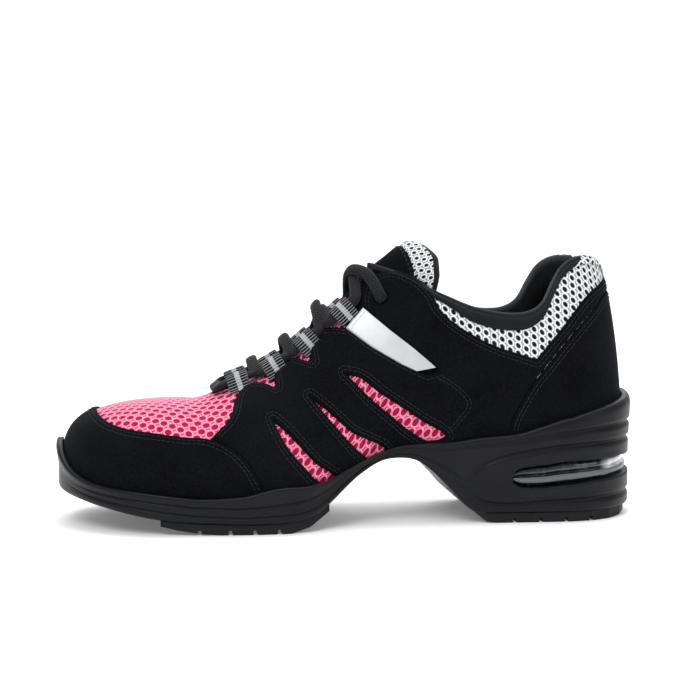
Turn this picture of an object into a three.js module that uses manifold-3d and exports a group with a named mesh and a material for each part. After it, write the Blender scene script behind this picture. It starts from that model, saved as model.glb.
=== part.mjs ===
// A low lace-up dance sneaker for the left foot, in millimetres.
// The toe points along -X, the outer (lateral) side is -Y and the inner (medial) side is +Y.
// The floor is Z = 0, and the origin lies on it under the middle of the sole.
//
// Every curved piece comes from one wrapped form. A path runs round the shoe on each side:
// 0 to 1 turns round the toe, 1 to 2 runs straight back, and 2 to 3 turns round the heel.
// At each place on the path a profile climbs from the feather edge to the ridge over the foot.
import * as THREE from "three";
import { mergeVertices } from "three/addons/utils/BufferGeometryUtils.js";
import Module from "manifold-3d";

const wasm = await Module();
wasm.setup();

// Driving sizes of the shoe
const LENGTH = 257; // sole, toe tip to heel back
const BALL_WIDTH = 87; // upper at the ball of the foot
const HEEL_WIDTH = 60; // upper at the heel
const TOE_TOP = 52.8; // top of the toe box above the floor
const INSTEP_TOP = 127; // ridge above the floor where the tongue ends
const HEEL_SEAT = 37.5; // footbed under the heel
const BALL_SEAT = 10.5; // footbed under the ball
const TOE_SEAT = 19; // footbed at the toe tip
const COLLAR_TOP = 115; // collar at the back of the heel
const COLLAR_DIP = 25.5; // how far the collar drops beside the ankle

// Walls, clearances and small pieces
const GAP = 0.3; // between pieces that touch
const WALL = 2; // mesh and lining
const COLLAR_PAD = 5.5; // foam behind the collar
const COLLAR_PAD_DEPTH = 24; // how far the foam reaches below the collar line
const OVERLAY = 1.2; // suede panels
const RIM = 2.2; // edge of the sole round the upper
const RIM_HEIGHT = 17.5; // rim above the feather edge at toe and heel
const RIM_ROUND = 2.2; // how far the rim rolls in at its top
const TREAD = 4; // rubber tread pads
const TREAD_INSET = 2; // tread edge inside the sole edge
const ARCH_HEIGHT = 29; // underside of the arch above the floor
const TOE_SPRING = 14.5; // underside of the toe above the floor
const LIP = 5; // sole beyond the upper at the heel
const SOLE_GROOVE = 1.5; // depth of the grooves round the heel
const WINDOW_DEPTH = 10; // slot round the heel that shows the cushion
const CUSHION_INSET = 1.4; // cushion behind the sole surface
const CUSHION_FLANGE = 0.9; // flange beyond the cushion body
const INSOLE = 4.5;
const TONGUE = 5;
const TONGUE_PAD = 4; // extra foam at the top of the tongue
const LACE_WIDTH = 5.2;
const LACE_THICKNESS = 3;
const RIBBON = 0.8; // webbing that makes the lace loops
const RIBBON_WIDTH = 9.6;
const EYELET_RADIUS = 3.5;

// Where the two turns are centred, as shares of the length
const TOE_CENTRE = 0.23;
const HEEL_CENTRE = 0.866;

const LATERAL = -1;
const MEDIAL = 1;

// Sections of the upper along the path. axis is the centre line's offset and lateral and medial
// are half widths, all as shares of the local width. heel and toe say how far the footbed has
// risen from the ball's to the heel's or toe's, and ridge how far the top has risen from the toe
// box to the instep. The last four shape the profile, as shares of its reach and height.
const SECTIONS = table(
  ["path", "axis", "lateral", "medial", "heel", "toe", "ridge", "wallOut", "wallUp", "crownOut", "crownUp"],
  [
    [0.0, 0.05, 0.53, 0.452, 0, 1.0, 0, 1.08, 0.74, 0.87, 1.04],
    [0.5, 0.05, 0.53, 0.452, 0, 0.72, 0, 1.07, 0.7, 0.8, 1.03],
    [1.0, 0.05, 0.53, 0.452, 0, 0.22, 0, 1.06, 0.6, 0.64, 1.0],
    [1.12, 0.006, 0.507, 0.486, 0, 0, 0.115, 1.07, 0.52, 0.54, 0.98],
    [1.21, -0.011, 0.49, 0.462, 0.01, 0, 0.22, 1.09, 0.44, 0.48, 0.95],
    [1.3, -0.029, 0.457, 0.418, 0.1, 0, 0.38, 1.12, 0.39, 0.48, 0.96],
    [1.39, -0.037, 0.421, 0.392, 0.37, 0, 0.6, 1.15, 0.37, 0.52, 0.97],
    [1.49, -0.033, 0.432, 0.42, 0.72, 0, 0.83, 1.14, 0.36, 0.6, 0.97],
    [1.54, -0.027, 0.441, 0.43, 0.83, 0, 0.9, 1.12, 0.36, 0.65, 0.97],
    [1.61, -0.017, 0.455, 0.447, 0.865, 0, 0.97, 1.09, 0.35, 0.72, 0.98],
    [1.67, -0.01, 0.475, 0.467, 0.88, 0, 1.03, 1.06, 0.34, 0.8, 1.0],
    [1.85, 0.0, 0.5, 0.495, 0.945, 0, 1.2, 1.03, 0.32, 0.9, 1.0],
    [2.0, 0.0, 0.503, 0.5, 1.0, 0, 1.31, 1.02, 0.3, 0.86, 0.96],
    [2.5, 0.0, 0.503, 0.5, 1.01, 0, 1.31, 1.01, 0.3, 0.76, 0.9],
    [3.0, 0.0, 0.503, 0.5, 1.02, 0, 1.31, 1.0, 0.3, 0.67, 0.85],
  ],
);

// The sole's side along the path. rim is a share of RIM_HEIGHT, arch and toe of the underside's
// rise, lip of LIP. upper, middle and lower are the three grooves, as shares of the side's
// height, and the depths are shares of SOLE_GROOVE. round is the share of RIM_ROUND.
const SOLE_SIDE = table(
  ["path", "rim", "arch", "toe", "lip", "upper", "middle", "lower", "upperDepth", "heelDepth", "round"],
  [
    [0.0, 1.0, 0, 1.0, 0.8, 0.62, 0.38, 0.1, 0, 0, 0.5],
    [0.1, 0.84, 0, 0.98, 0.8, 0.62, 0.38, 0.1, 0, 0, 0.5],
    [0.28, 0.4, 0, 0.86, 0.78, 0.62, 0.38, 0.1, 0.1, 0, 0.4],
    [0.45, 0.2, 0, 0.66, 0.76, 0.64, 0.36, 0.1, 0.35, 0, 0.3],
    [0.75, 0.18, 0, 0.26, 0.72, 0.65, 0.33, 0.1, 0.4, 0, 0.3],
    [1.0, 0.18, 0, 0.07, 0.7, 0.65, 0.3, 0.09, 0.4, 0, 0.3],
    [1.12, 0.34, 0, 0, 0.7, 0.56, 0.24, 0.08, 0.4, 0, 0.3],
    [1.21, 0.51, 0, 0, 0.7, 0.52, 0.22, 0.08, 0.4, 0, 0.3],
    [1.3, 0.42, 0.09, 0, 0.62, 0.6, 0.24, 0.08, 0.4, 0, 0.3],
    [1.345, 0.32, 0.27, 0, 0.56, 0.66, 0.28, 0.08, 0.4, 0, 0.3],
    [1.39, 0.27, 0.51, 0, 0.52, 0.7, 0.32, 0.1, 0.35, 0, 0.3],
    [1.43, 0.22, 0.72, 0, 0.46, 0.72, 0.34, 0.12, 0.3, 0, 0.3],
    [1.49, 0.12, 0.95, 0, 0.4, 0.72, 0.36, 0.14, 0.25, 0, 0.3],
    [1.54, 0.1, 1.0, 0, 0.4, 0.72, 0.36, 0.14, 0.25, 0, 0.3],
    [1.585, 0.09, 0.95, 0, 0.42, 0.74, 0.36, 0.14, 0.25, 0, 0.3],
    [1.62, 0.08, 0.8, 0, 0.44, 0.79, 0.38, 0.16, 0.25, 0, 0.3],
    [1.655, 0.08, 0.58, 0, 0.46, 0.85, 0.39, 0.2, 0.3, 0, 0.3],
    [1.685, 0.09, 0.37, 0, 0.5, 0.88, 0.4, 0.24, 0.35, 0, 0.35],
    [1.715, 0.12, 0.15, 0, 0.55, 0.9, 0.41, 0.28, 0.4, 0.2, 0.4],
    [1.745, 0.15, 0.02, 0, 0.6, 0.91, 0.58, 0.19, 0.45, 0.6, 0.45],
    [1.79, 0.16, 0, 0, 0.7, 0.91, 0.69, 0.13, 0.5, 0.7, 0.5],
    [1.85, 0.18, 0, 0, 0.78, 0.92, 0.745, 0.11, 0.55, 0.75, 0.55],
    [1.92, 0.32, 0, 0, 0.84, 0.885, 0.73, 0.12, 0.6, 0.8, 0.65],
    [2.0, 0.49, 0, 0, 0.88, 0.84, 0.7, 0.125, 0.75, 0.9, 0.8],
    [2.45, 0.8, 0, 0, 0.94, 0.79, 0.64, 0.13, 1, 1, 1],
    [3.0, 1.0, 0, 0, 0.98, 0.75, 0.607, 0.14, 1, 1, 1],
  ],
);

// Edges of the slot round the heel, as shares of the heel seat's height
const WINDOW = table(
  ["path", "low", "high"],
  [
    [1.85, 0.42, 0.64],
    [1.92, 0.41, 0.672],
    [2.0, 0.44, 0.71],
    [2.5, 0.5, 0.733],
    [3.0, 0.54, 0.75],
  ],
);
const WINDOW_START = 1.84;
const WINDOW_ROUND = 0.035; // path over which its front end closes

// Collar line. station is a share of the length, drop of COLLAR_DIP below COLLAR_TOP.
const COLLAR = table(
  ["station", "drop"],
  [
    [0.54, 0.1],
    [0.575, 0.22],
    [0.605, 0.35],
    [0.635, 0.56],
    [0.665, 0.72],
    [0.7, 0.87],
    [0.735, 0.96],
    [0.77, 1.0],
    [0.8, 0.96],
    [0.823, 0.8],
    [0.84, 0.47],
    [0.855, 0.22],
    [0.877, 0.06],
    [0.912, 0.0],
    [0.93, 0.06],
    [0.942, 0.22],
    [0.952, 0.5],
    [1.0, 1.6],
  ],
);

// Half width of the throat, as a share of the ball width
const THROAT = table(
  ["station", "half"],
  [
    [0.262, 0.0],
    [0.265, 0.055],
    [0.275, 0.09],
    [0.3, 0.11],
    [0.4, 0.12],
    [0.48, 0.14],
    [0.53, 0.13],
    [0.6, 0.13],
    [0.64, 0.14],
  ],
);

// Panel outlines in side view: station as a share of the length, height as a share of TOE_TOP.
// Each runs back along its upper edge.
const TOE_CAP_TOP = [
  [-0.02, 0.94], [0.055, 0.94], [0.068, 0.9], [0.088, 0.85], [0.12, 0.81], [0.17, 0.78],
  [0.213, 0.75], [0.252, 0.733],
];
const TOE_CAP_REAR = [
  [0.279, 0.69], [0.298, 0.63], [0.316, 0.54], [0.329, 0.44], [0.338, 0.34], [0.34, 0.1],
];
const VAMP_EDGE = [
  [0.255, 0.735], [0.27, 0.8], [0.284, 0.86], [0.293, 0.93], [0.299, 1.02],
];
const SCALLOPS = [
  [[0.306, 1.07], [0.318, 1.115], [0.335, 1.14], [0.35, 1.14], [0.367, 1.112]],
  [[0.366, 1.21], [0.378, 1.29], [0.395, 1.335], [0.41, 1.34], [0.428, 1.317]],
  [[0.426, 1.45], [0.436, 1.53], [0.452, 1.585], [0.47, 1.6], [0.484, 1.6]],
];
const QUARTER_TOP = [
  [0.515, 1.78], [0.518, 1.98], [0.531, 2.06], [0.561, 2.085], [0.585, 2.05], [0.607, 2.0],
  [0.624, 1.93], [0.636, 1.85],
];
const COLLAR_SEAM = [
  [0.64, 1.79], [0.653, 1.71], [0.679, 1.61], [0.714, 1.51], [0.747, 1.44], [0.783, 1.385], [0.807, 1.345],
  [0.829, 1.47], [0.854, 1.61], [0.884, 1.79], [0.905, 1.89], [0.925, 1.95],
];
const COUNTER_EDGE = [
  [0.99, 1.82], [0.937, 1.82], [0.911, 1.75], [0.884, 1.62], [0.854, 1.455], [0.825, 1.285],
  [0.797, 1.12], [0.78, 0.98],
  [0.766, 0.85], [0.76, 0.7], [0.758, 0.5],
];
const SLITS = [
  [
    [0.357, 0.885], [0.372, 0.83], [0.394, 0.725], [0.427, 0.555], [0.462, 0.42], [0.434, 0.39],
    [0.406, 0.52], [0.377, 0.69],
  ],
  [
    [0.42, 1.065], [0.448, 0.965], [0.471, 0.865], [0.491, 0.78], [0.55, 0.62], [0.523, 0.545],
    [0.503, 0.605], [0.46, 0.83],
  ],
  [
    [0.481, 1.245], [0.507, 1.215], [0.542, 1.085], [0.575, 0.98], [0.61, 0.865], [0.652, 0.73],
    [0.624, 0.68], [0.592, 0.76], [0.558, 0.895], [0.525, 1.03],
  ],
];
const FLASH = [
  [0.517, 1.77], [0.486, 1.6], [0.528, 1.45], [0.578, 1.31], [0.62, 1.215], [0.643, 1.25],
  [0.631, 1.31], [0.6, 1.44], [0.559, 1.595],
];

// Lace loops up the throat, and the eyelets that the lace ends in: station as a share of the
// length, across of the ball width
const LOOPS = [
  { station: 0.31, across: 0.118 },
  { station: 0.371, across: 0.118 },
  { station: 0.427, across: 0.122 },
  { station: 0.487, across: 0.13 },
];
const TOP_EYELET = { station: 0.549, across: 0.2 };

// Named columns for a table of rows whose first column is the key
function table(columns, rows) {
  return { columns, rows };
}

// Smooth value of a table's column at a key, by cubic pieces through its rows
function lookup(source, column, key) {
  const { columns, rows } = source;
  const c = columns.indexOf(column);
  const last = rows.length - 1;
  if (key <= rows[0][0]) return rows[0][c];
  if (key >= rows[last][0]) return rows[last][c];
  let i = 0;
  while (rows[i + 1][0] < key) i++;
  const slope = (j) => {
    const a = rows[Math.max(j - 1, 0)];
    const b = rows[Math.min(j + 1, last)];
    return (b[c] - a[c]) / (b[0] - a[0]);
  };
  const [x0, x1] = [rows[i][0], rows[i + 1][0]];
  const [y0, y1] = [rows[i][c], rows[i + 1][c]];
  const h = x1 - x0;
  const t = (key - x0) / h;
  const s = 1 - t;
  const ends = y0 * s * s * (1 + 2 * t) + y1 * t * t * (1 + 2 * s);
  const slopes = slope(i) * h * t * s * s - slope(i + 1) * h * t * t * s;
  return flatBetween(y0, y1, ends + slopes);
}

// Two equal neighbours keep the stretch between them level
function flatBetween(y0, y1, value) {
  return y0 === y1 ? y0 : value;
}

function smooth(low, high, value) {
  const t = Math.min(1, Math.max(0, (value - low) / (high - low)));
  return t * t * (3 - 2 * t);
}

// Width that a section's shares refer to: the ball's in front, the heel's behind
function localWidth(path) {
  return THREE.MathUtils.lerp(BALL_WIDTH, HEEL_WIDTH, smooth(1.25, 1.5, path));
}

// Station of a straight place on the path, in millimetres from the toe tip
function stationOf(path) {
  const run = Math.min(Math.max(path - 1, 0), 1);
  return LENGTH * THREE.MathUtils.lerp(TOE_CENTRE, HEEL_CENTRE, run);
}

function pathOf(station) {
  return 1 + (station / LENGTH - TOE_CENTRE) / (HEEL_CENTRE - TOE_CENTRE);
}

// Where a profile stands: the centre-line point, its outward direction and the upper's reach
function footing(path, side) {
  const section = (column) => lookup(SECTIONS, column, path);
  const width = localWidth(path);
  const half = width * section(side === LATERAL ? "lateral" : "medial");
  const origin = new THREE.Vector2(stationOf(path) - LENGTH / 2, width * section("axis"));
  let out = new THREE.Vector2(0, side);
  let reach = half;
  if (path < 1) {
    const angle = (path * Math.PI) / 2;
    out = new THREE.Vector2(-Math.cos(angle), side * Math.sin(angle));
    reach = ovalRadius(angle, TOE_CENTRE * LENGTH - LIP * 0.8, half, side === LATERAL ? 2.0 : 2.25);
  } else if (path > 2) {
    const angle = ((path - 2) * Math.PI) / 2;
    out = new THREE.Vector2(Math.sin(angle), side * Math.cos(angle));
    reach = ovalRadius(Math.PI / 2 - angle, (1 - HEEL_CENTRE) * LENGTH - LIP, half, 2.05);
  }
  return { origin, out, reach };
}

// Radius of an oval at an angle from its long direction
function ovalRadius(angle, along, across, power) {
  const a = Math.abs(Math.cos(angle) / along) ** power;
  const b = Math.abs(Math.sin(angle) / across) ** power;
  return (a + b) ** (-1 / power);
}

function featherHeight(path) {
  const heel = lookup(SECTIONS, "heel", path);
  const toe = lookup(SECTIONS, "toe", path);
  return BALL_SEAT + (HEEL_SEAT - BALL_SEAT) * heel + (TOE_SEAT - BALL_SEAT) * toe;
}

function ridgeHeight(path) {
  return TOE_TOP + (INSTEP_TOP - TOE_TOP) * lookup(SECTIONS, "ridge", path);
}

// Point of the upper's profile as (distance from the centre line, height), climb from 0 to 1,
// moved out along the profile's own normal
function profilePoint(path, side, climb, offset) {
  const { reach } = footing(path, side);
  const low = featherHeight(path);
  const rise = ridgeHeight(path) - low;
  const section = (column) => lookup(SECTIONS, column, path);
  const curve = new THREE.CubicBezierCurve(
    new THREE.Vector2(reach, low),
    new THREE.Vector2(reach * section("wallOut"), low + rise * section("wallUp")),
    new THREE.Vector2(reach * section("crownOut"), low + rise * section("crownUp")),
    new THREE.Vector2(0, low + rise),
  );
  const point = curve.getPoint(climb);
  const near = 1e-3;
  const ahead = curve.getPoint(Math.min(1, climb + near));
  const behind = curve.getPoint(Math.max(0, climb - near));
  const along = ahead.sub(behind).normalize();
  const distance = typeof offset === "function" ? offset(path, point.y) : offset;
  if (climb === 1) return point.set(0, point.y + distance);
  point.x += along.y * distance;
  point.y -= along.x * distance;
  return point;
}

// Profile point as a point in space
function inSpace(path, side, distance, height) {
  const { origin, out } = footing(path, side);
  return new THREE.Vector3(origin.x + out.x * distance, origin.y + out.y * distance, height);
}

// Distance from the centre line of the upper's surface at a height
function reachAtHeight(path, side, height, offset) {
  let low = 0;
  let high = 0.75;
  for (let i = 0; i < 24; i++) {
    const middle = (low + high) / 2;
    if (profilePoint(path, side, middle, offset).y < height) low = middle;
    else high = middle;
  }
  return profilePoint(path, side, low, offset).x;
}

// Path places for every wrapped form, denser where the sole bends
const AROUND = [
  ...steps(0, 1, 5),
  ...steps(1, 1.3, 4),
  ...steps(1.3, 1.8, 9),
  ...steps(1.8, 2, 2),
  ...steps(2, 3, 5),
  3,
];
const CLIMBS = [0, 0.14, 0.28, 0.42, 0.56, 0.7, 0.82, 0.92, 1];

function steps(from, to, count) {
  return Array.from({ length: count }, (_, i) => from + ((to - from) * i) / count);
}

// The centre line's own place on the path: both turns meet it at their centres
function keel(path) {
  return Math.min(Math.max(path, 1), 2);
}

// Closed mesh from rings that run round the shoe, one a level. pointAt(path, side, level) gives
// a point, and the first and last level lie on the centre line, where both sides meet.
function wrap(levels, pointAt) {
  const loop = [
    ...AROUND.map((path) => [path, LATERAL]),
    ...AROUND.slice(1, -1).reverse().map((path) => [path, MEDIAL]),
  ];
  const rings = levels.map((level) => loop.map(([path, side]) => pointAt(path, side, level)));
  return skin(rings, true);
}

// Triangles between neighbouring rings; a closed ring joins its last point to its first
function skin(rings, closed) {
  const positions = [];
  const push = (...points) => points.forEach((p) => positions.push(p.x, p.y, p.z));
  for (let j = 0; j + 1 < rings.length; j++) {
    const [a, b] = [rings[j], rings[j + 1]];
    const count = closed ? a.length : a.length - 1;
    for (let i = 0; i < count; i++) {
      const k = (i + 1) % a.length;
      push(a[i], a[k], b[k], a[i], b[k], b[i]);
    }
  }
  return positions;
}

// Solid for joins and cuts, from loose triangles
function solidFrom(positions) {
  const geometry = new THREE.BufferGeometry();
  geometry.setAttribute("position", new THREE.Float32BufferAttribute(positions, 3));
  return solid(geometry);
}

function solid(geometry) {
  const bare = new THREE.BufferGeometry();
  const loose = geometry.index ? geometry.toNonIndexed() : geometry;
  bare.setAttribute("position", loose.getAttribute("position"));
  const merged = mergeVertices(bare, 1e-3);
  const source = merged.index.array;
  const triVerts = [];
  for (let i = 0; i < source.length; i += 3) {
    const [a, b, c] = [source[i], source[i + 1], source[i + 2]];
    if (a !== b && b !== c && c !== a) triVerts.push(a, b, c);
  }
  const vertProperties = new Float32Array(merged.attributes.position.array);
  let made = new wasm.Manifold(
    new wasm.Mesh({ numProp: 3, vertProperties, triVerts: new Uint32Array(triVerts) }),
  );
  if (made.volume() < 0) {
    for (let i = 0; i < triVerts.length; i += 3) {
      triVerts.splice(i, 3, triVerts[i], triVerts[i + 2], triVerts[i + 1]);
    }
    made = new wasm.Manifold(
      new wasm.Mesh({ numProp: 3, vertProperties, triVerts: new Uint32Array(triVerts) }),
    );
  }
  return made;
}

// The upper's closed form grown by offset, its flat bottom lowered by drop
function form(offset, drop = 0) {
  const levels = ["keel", "corner", ...CLIMBS];
  return solidFrom(
    wrap(levels, (path, side, level) => {
      const low = featherHeight(path) - drop;
      const foot = profilePoint(path, side, 0, offset);
      if (level === "keel") return inSpace(path, side, 0, featherHeight(keel(path)) - drop);
      if (level === "corner") return inSpace(path, side, foot.x, low);
      const point = profilePoint(path, side, level, offset);
      return inSpace(path, side, point.x, point.y);
    }),
  );
}

// Prism across the shoe from a side-view outline of (station, height) in millimetres
function across(outline, from = -BALL_WIDTH, to = BALL_WIDTH) {
  const shape = new THREE.Shape(outline.map(([s, z]) => new THREE.Vector2(s - LENGTH / 2, z)));
  const geometry = new THREE.ExtrudeGeometry(shape, { depth: to - from, bevelEnabled: false });
  geometry.rotateX(Math.PI / 2);
  geometry.translate(0, to, 0);
  return solid(geometry);
}

// Upright prism from a plan outline of (x, y) in millimetres
function upright(outline, from, to) {
  const shape = new THREE.Shape(outline.map(([x, y]) => new THREE.Vector2(x, y)));
  const geometry = new THREE.ExtrudeGeometry(shape, { depth: to - from, bevelEnabled: false });
  geometry.translate(0, 0, from);
  return solid(geometry);
}

// Smooth curve through outline points, thinned to a few sides
function curved(points, sides = 2) {
  const curve = new THREE.SplineCurve(points.map(([a, b]) => new THREE.Vector2(a, b)));
  return curve.getPoints(sides * (points.length - 1)).map((p) => [p.x, p.y]);
}

// Panel outline points from shares to millimetres
function panel(points) {
  return points.map(([s, z]) => [s * LENGTH, z * TOE_TOP]);
}

function collarHeight(station) {
  return COLLAR_TOP - COLLAR_DIP * lookup(COLLAR, "drop", station / LENGTH);
}

// Everything more than a margin above the collar line, from the throat's top corner back
function collarCut(margin = 0) {
  const line = COLLAR.rows.map(([share]) => share * LENGTH).map((s) => [s, collarHeight(s) + margin]);
  const sky = INSTEP_TOP * 2;
  return across([
    [line[0][0] - 6, sky],
    [line[0][0] - 6, line[0][1] + 6],
    ...curved(line),
    [LENGTH * 1.1, line.at(-1)[1]],
    [LENGTH * 1.1, sky],
  ]);
}

function throatHalf(station) {
  return BALL_WIDTH * lookup(THROAT, "half", station / LENGTH);
}

function axisAt(station) {
  const path = pathOf(station);
  return localWidth(path) * lookup(SECTIONS, "axis", path);
}

// The throat's slot from above, a margin narrower on each side
function throatCut(margin = 0) {
  const stations = THROAT.rows.map(([share]) => share * LENGTH + margin);
  const half = (s) => Math.max(0, throatHalf(s) - margin);
  const edge = (side) => stations.map((s) => [s - LENGTH / 2, axisAt(s) + side * half(s)]);
  return upright([...edge(LATERAL), ...edge(MEDIAL).reverse().slice(0, -1)], TOE_TOP * 0.8, INSTEP_TOP * 2);
}

// Inner face of the upper: a plain wall that thickens into the collar's padding
function innerOffset(path, height) {
  const station = path < 1 ? 0 : stationOf(path);
  const line = path > 2 ? COLLAR_TOP : collarHeight(Math.max(station, COLLAR.rows[0][0] * LENGTH));
  const padded = smooth(1.56, 1.7, path) * smooth(line - COLLAR_PAD_DEPTH, line - 6, height);
  return -WALL - COLLAR_PAD * padded;
}

// Point on the plain form at a station and a signed distance from the centre line
function onForm(station, aside) {
  const side = aside < 0 ? LATERAL : MEDIAL;
  const path = pathOf(station);
  let low = 0.2;
  let high = 1;
  for (let i = 0; i < 24; i++) {
    const middle = (low + high) / 2;
    if (profilePoint(path, side, middle, 0).x > Math.abs(aside)) low = middle;
    else high = middle;
  }
  const { x, y } = profilePoint(path, side, low, 0);
  return inSpace(path, side, x, y);
}

// A place lifted off the form, with the directions up the throat, across it and outward
function aboveForm(station, aside, lift) {
  const along = onForm(station + 1, aside).sub(onForm(station - 1, aside)).normalize();
  const aslant = onForm(station, aside + 1).sub(onForm(station, aside - 1));
  const normal = new THREE.Vector3().crossVectors(along, aslant).normalize();
  const over = new THREE.Vector3().crossVectors(normal, along);
  const point = onForm(station, aside).addScaledVector(normal, lift);
  return { point, along, over, normal };
}

function seat(place, side, lift) {
  return aboveForm(place.station * LENGTH, side * place.across * BALL_WIDTH, lift);
}

function eyeletHole(side) {
  const { point, normal } = seat(TOP_EYELET, side, 0);
  const geometry = new THREE.CylinderGeometry(EYELET_RADIUS, EYELET_RADIUS, BALL_WIDTH / 3, 12);
  geometry.applyQuaternion(new THREE.Quaternion().setFromUnitVectors(new THREE.Vector3(0, 1, 0), normal));
  geometry.translate(point.x, point.y, point.z);
  return solid(geometry);
}

// The upper's wall, open at the collar, the throat and underneath, grown by a margin all round
function upperWall(margin) {
  const inner = (path, height) => innerOffset(path, height) - margin;
  return form(margin).subtract(form(inner, WALL * 2)).subtract(collarCut(margin)).subtract(throatCut(margin));
}

function makeUpper() {
  return upperWall(0).subtract(eyeletHole(LATERAL)).subtract(eyeletHole(MEDIAL));
}

// Height of the sole's rim, of its underside and of a share between them
function rimHeight(path) {
  return featherHeight(path) + RIM_HEIGHT * lookup(SOLE_SIDE, "rim", path);
}

function undersideHeight(path) {
  const flat = TREAD + GAP;
  const arch = (ARCH_HEIGHT - flat) * lookup(SOLE_SIDE, "arch", path);
  const toe = (TOE_SPRING - flat) * lookup(SOLE_SIDE, "toe", path);
  return flat + arch + toe;
}

// Radius of the sole's plain side at a share of its height
function soleReach(path, side, share) {
  const { reach } = footing(path, side);
  const lip = reach + LIP * lookup(SOLE_SIDE, "lip", path);
  const rim = reachAtHeight(path, side, rimHeight(path), OVERLAY + 2 * GAP + RIM);
  const rounded = rim + RIM_ROUND * lookup(SOLE_SIDE, "round", path);
  return THREE.MathUtils.lerp(lip, rounded, smooth(0.45, 1, share));
}

// Levels of the sole's side from its underside up to the rim
const SOLE_LEVELS = [
  "keel", "tread", "edge", "lower-", "lower", "lower+", "middle-", "middle", "middle+",
  "upper-", "upper", "upper+", "roll", "rim", "top",
];

function solePoint(path, side, level, drop) {
  const low = undersideHeight(path) - drop;
  const high = rimHeight(path);
  const side_ = (column) => lookup(SOLE_SIDE, column, path);
  const at = (share, inset) =>
    inSpace(path, side, soleReach(path, side, share) - inset, low + (high - low) * share);
  const spread = Math.min(0.035, 1.4 / (high - low));
  const chamfer = Math.min(2.2, (high - low) * 0.3);
  const roundIn = RIM_ROUND * side_("round");
  switch (level) {
    case "keel":
      return inSpace(path, side, 0, undersideHeight(keel(path)) - drop);
    case "tread":
      return at(0, chamfer);
    case "edge":
      return at(side_("lower") * 0.45, 0.3);
    case "roll":
      return at(1 - (1 - side_("upper")) * 0.35, roundIn * 0.25);
    case "rim":
      return at(1, roundIn);
    case "top":
      return inSpace(path, side, 0, rimHeight(keel(path)));
  }
  const groove = level.replace(/[-+]/, "");
  const ahead = groove === "upper" || (groove === "middle" && path < 1.7);
  const depth = SOLE_GROOVE * side_(ahead ? "upperDepth" : "heelDepth");
  if (level.endsWith("-")) return at(side_(groove) - spread, 0);
  if (level.endsWith("+")) return at(side_(groove) + spread, 0);
  return at(side_(groove), depth);
}

// Band round the heel from one side to the other: profile corners are [out, up], out from
// the sole's side and up from 0 at the window's low edge to 1 at its high edge
function heelBand(start, corners, clear) {
  const run = [
    ...steps(start, start + WINDOW_ROUND, 5),
    ...steps(start + WINDOW_ROUND, 2, 3),
    ...steps(2, 3, 7),
  ];
  const places = [
    ...run.map((path) => [path, LATERAL]),
    [3, LATERAL],
    ...run.slice().reverse().map((path) => [path, MEDIAL]),
  ];
  const rings = places.map(([path, side]) => {
    const low = HEEL_SEAT * lookup(WINDOW, "low", path) + clear;
    const high = HEEL_SEAT * lookup(WINDOW, "high", path) - clear;
    const left = Math.max(0, 1 - (path - start) / WINDOW_ROUND);
    const open = Math.max(0.25, Math.sqrt(1 - left * left));
    const centre = (low + high) / 2;
    const half = ((high - low) / 2) * open;
    return corners.map(([out, up]) =>
      inSpace(path, side, soleReach(path, side, 0.4) + out, centre + half * (2 * up - 1)),
    );
  });
  const tube = skin(rings.map((ring) => [...ring, ring[0]]), false);
  addCap(tube, rings[0], true);
  addCap(tube, rings.at(-1), false);
  return solidFrom(tube);
}

// The sole before anything is cut from it, its underside lowered by drop
function soleBlock(drop = 0) {
  return solidFrom(wrap(SOLE_LEVELS, (path, side, level) => solePoint(path, side, level, drop)));
}

function makeSole() {
  const slot = heelBand(WINDOW_START, [[4, 0], [4, 1], [-WINDOW_DEPTH, 1], [-WINDOW_DEPTH, 0]], 0);
  return soleBlock().subtract(form(OVERLAY + 2 * GAP, GAP)).subtract(slot);
}

// Clear cushion in the slot, with a flange along its middle
function makeCushion() {
  const face = -CUSHION_INSET - CUSHION_FLANGE;
  const back = -WINDOW_DEPTH + GAP;
  const corners = [
    [face, 0], [face, 0.3], [-CUSHION_INSET, 0.36], [-CUSHION_INSET, 0.5],
    [face, 0.56], [face, 1], [back, 1], [back, 0],
  ];
  return heelBand(WINDOW_START + 0.004, corners, GAP);
}

// Plan outline of the sole's edge, inset, over a stretch of stations
function plan(inset, from, to) {
  const ring = [LATERAL, MEDIAL].flatMap((side) => {
    const places = AROUND.map((path) => {
      const { x, y } = inSpace(path, side, soleReach(path, side, 0.1) - inset, 0);
      return [x, y];
    }).filter(([x]) => x + LENGTH / 2 > from && x + LENGTH / 2 < to);
    return side === LATERAL ? places : places.reverse();
  });
  const isTwin = (p, q) => Math.hypot(p[0] - q[0], p[1] - q[1]) < 0.5;
  return ring.filter((p, i) => !isTwin(p, ring[(i + 1) % ring.length]));
}

// A tread pad: the plan outline between the sole's underside and a floor line
function makeTread(floor, grooves) {
  const [from, to] = [floor[0][0], floor.at(-1)[0]];
  const inside = TREAD * 3.4;
  const slab = across([[from, inside], ...floor, [to, inside]]);
  const outline = upright(plan(TREAD_INSET, from - LIP, to + LIP), -1, inside);
  let pad = slab.intersect(outline).subtract(soleBlock(GAP));
  for (const s of grooves) {
    pad = pad.subtract(
      across([[s - 1.2, -1], [s - 0.6, TREAD * 0.5], [s + 0.6, TREAD * 0.5], [s + 1.2, -1]]),
    );
  }
  return pad;
}

function makeForefootTread() {
  const floor = [
    [0.165, 4.3], [0.2, 2.2], [0.235, 0.7], [0.27, 0], [0.385, 0], [0.415, 2.2], [0.45, 8],
  ].map(([s, z]) => [s * LENGTH, z]);
  return makeTread(floor, [0.2, 0.235, 0.285, 0.325, 0.365].map((s) => s * LENGTH));
}

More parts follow.
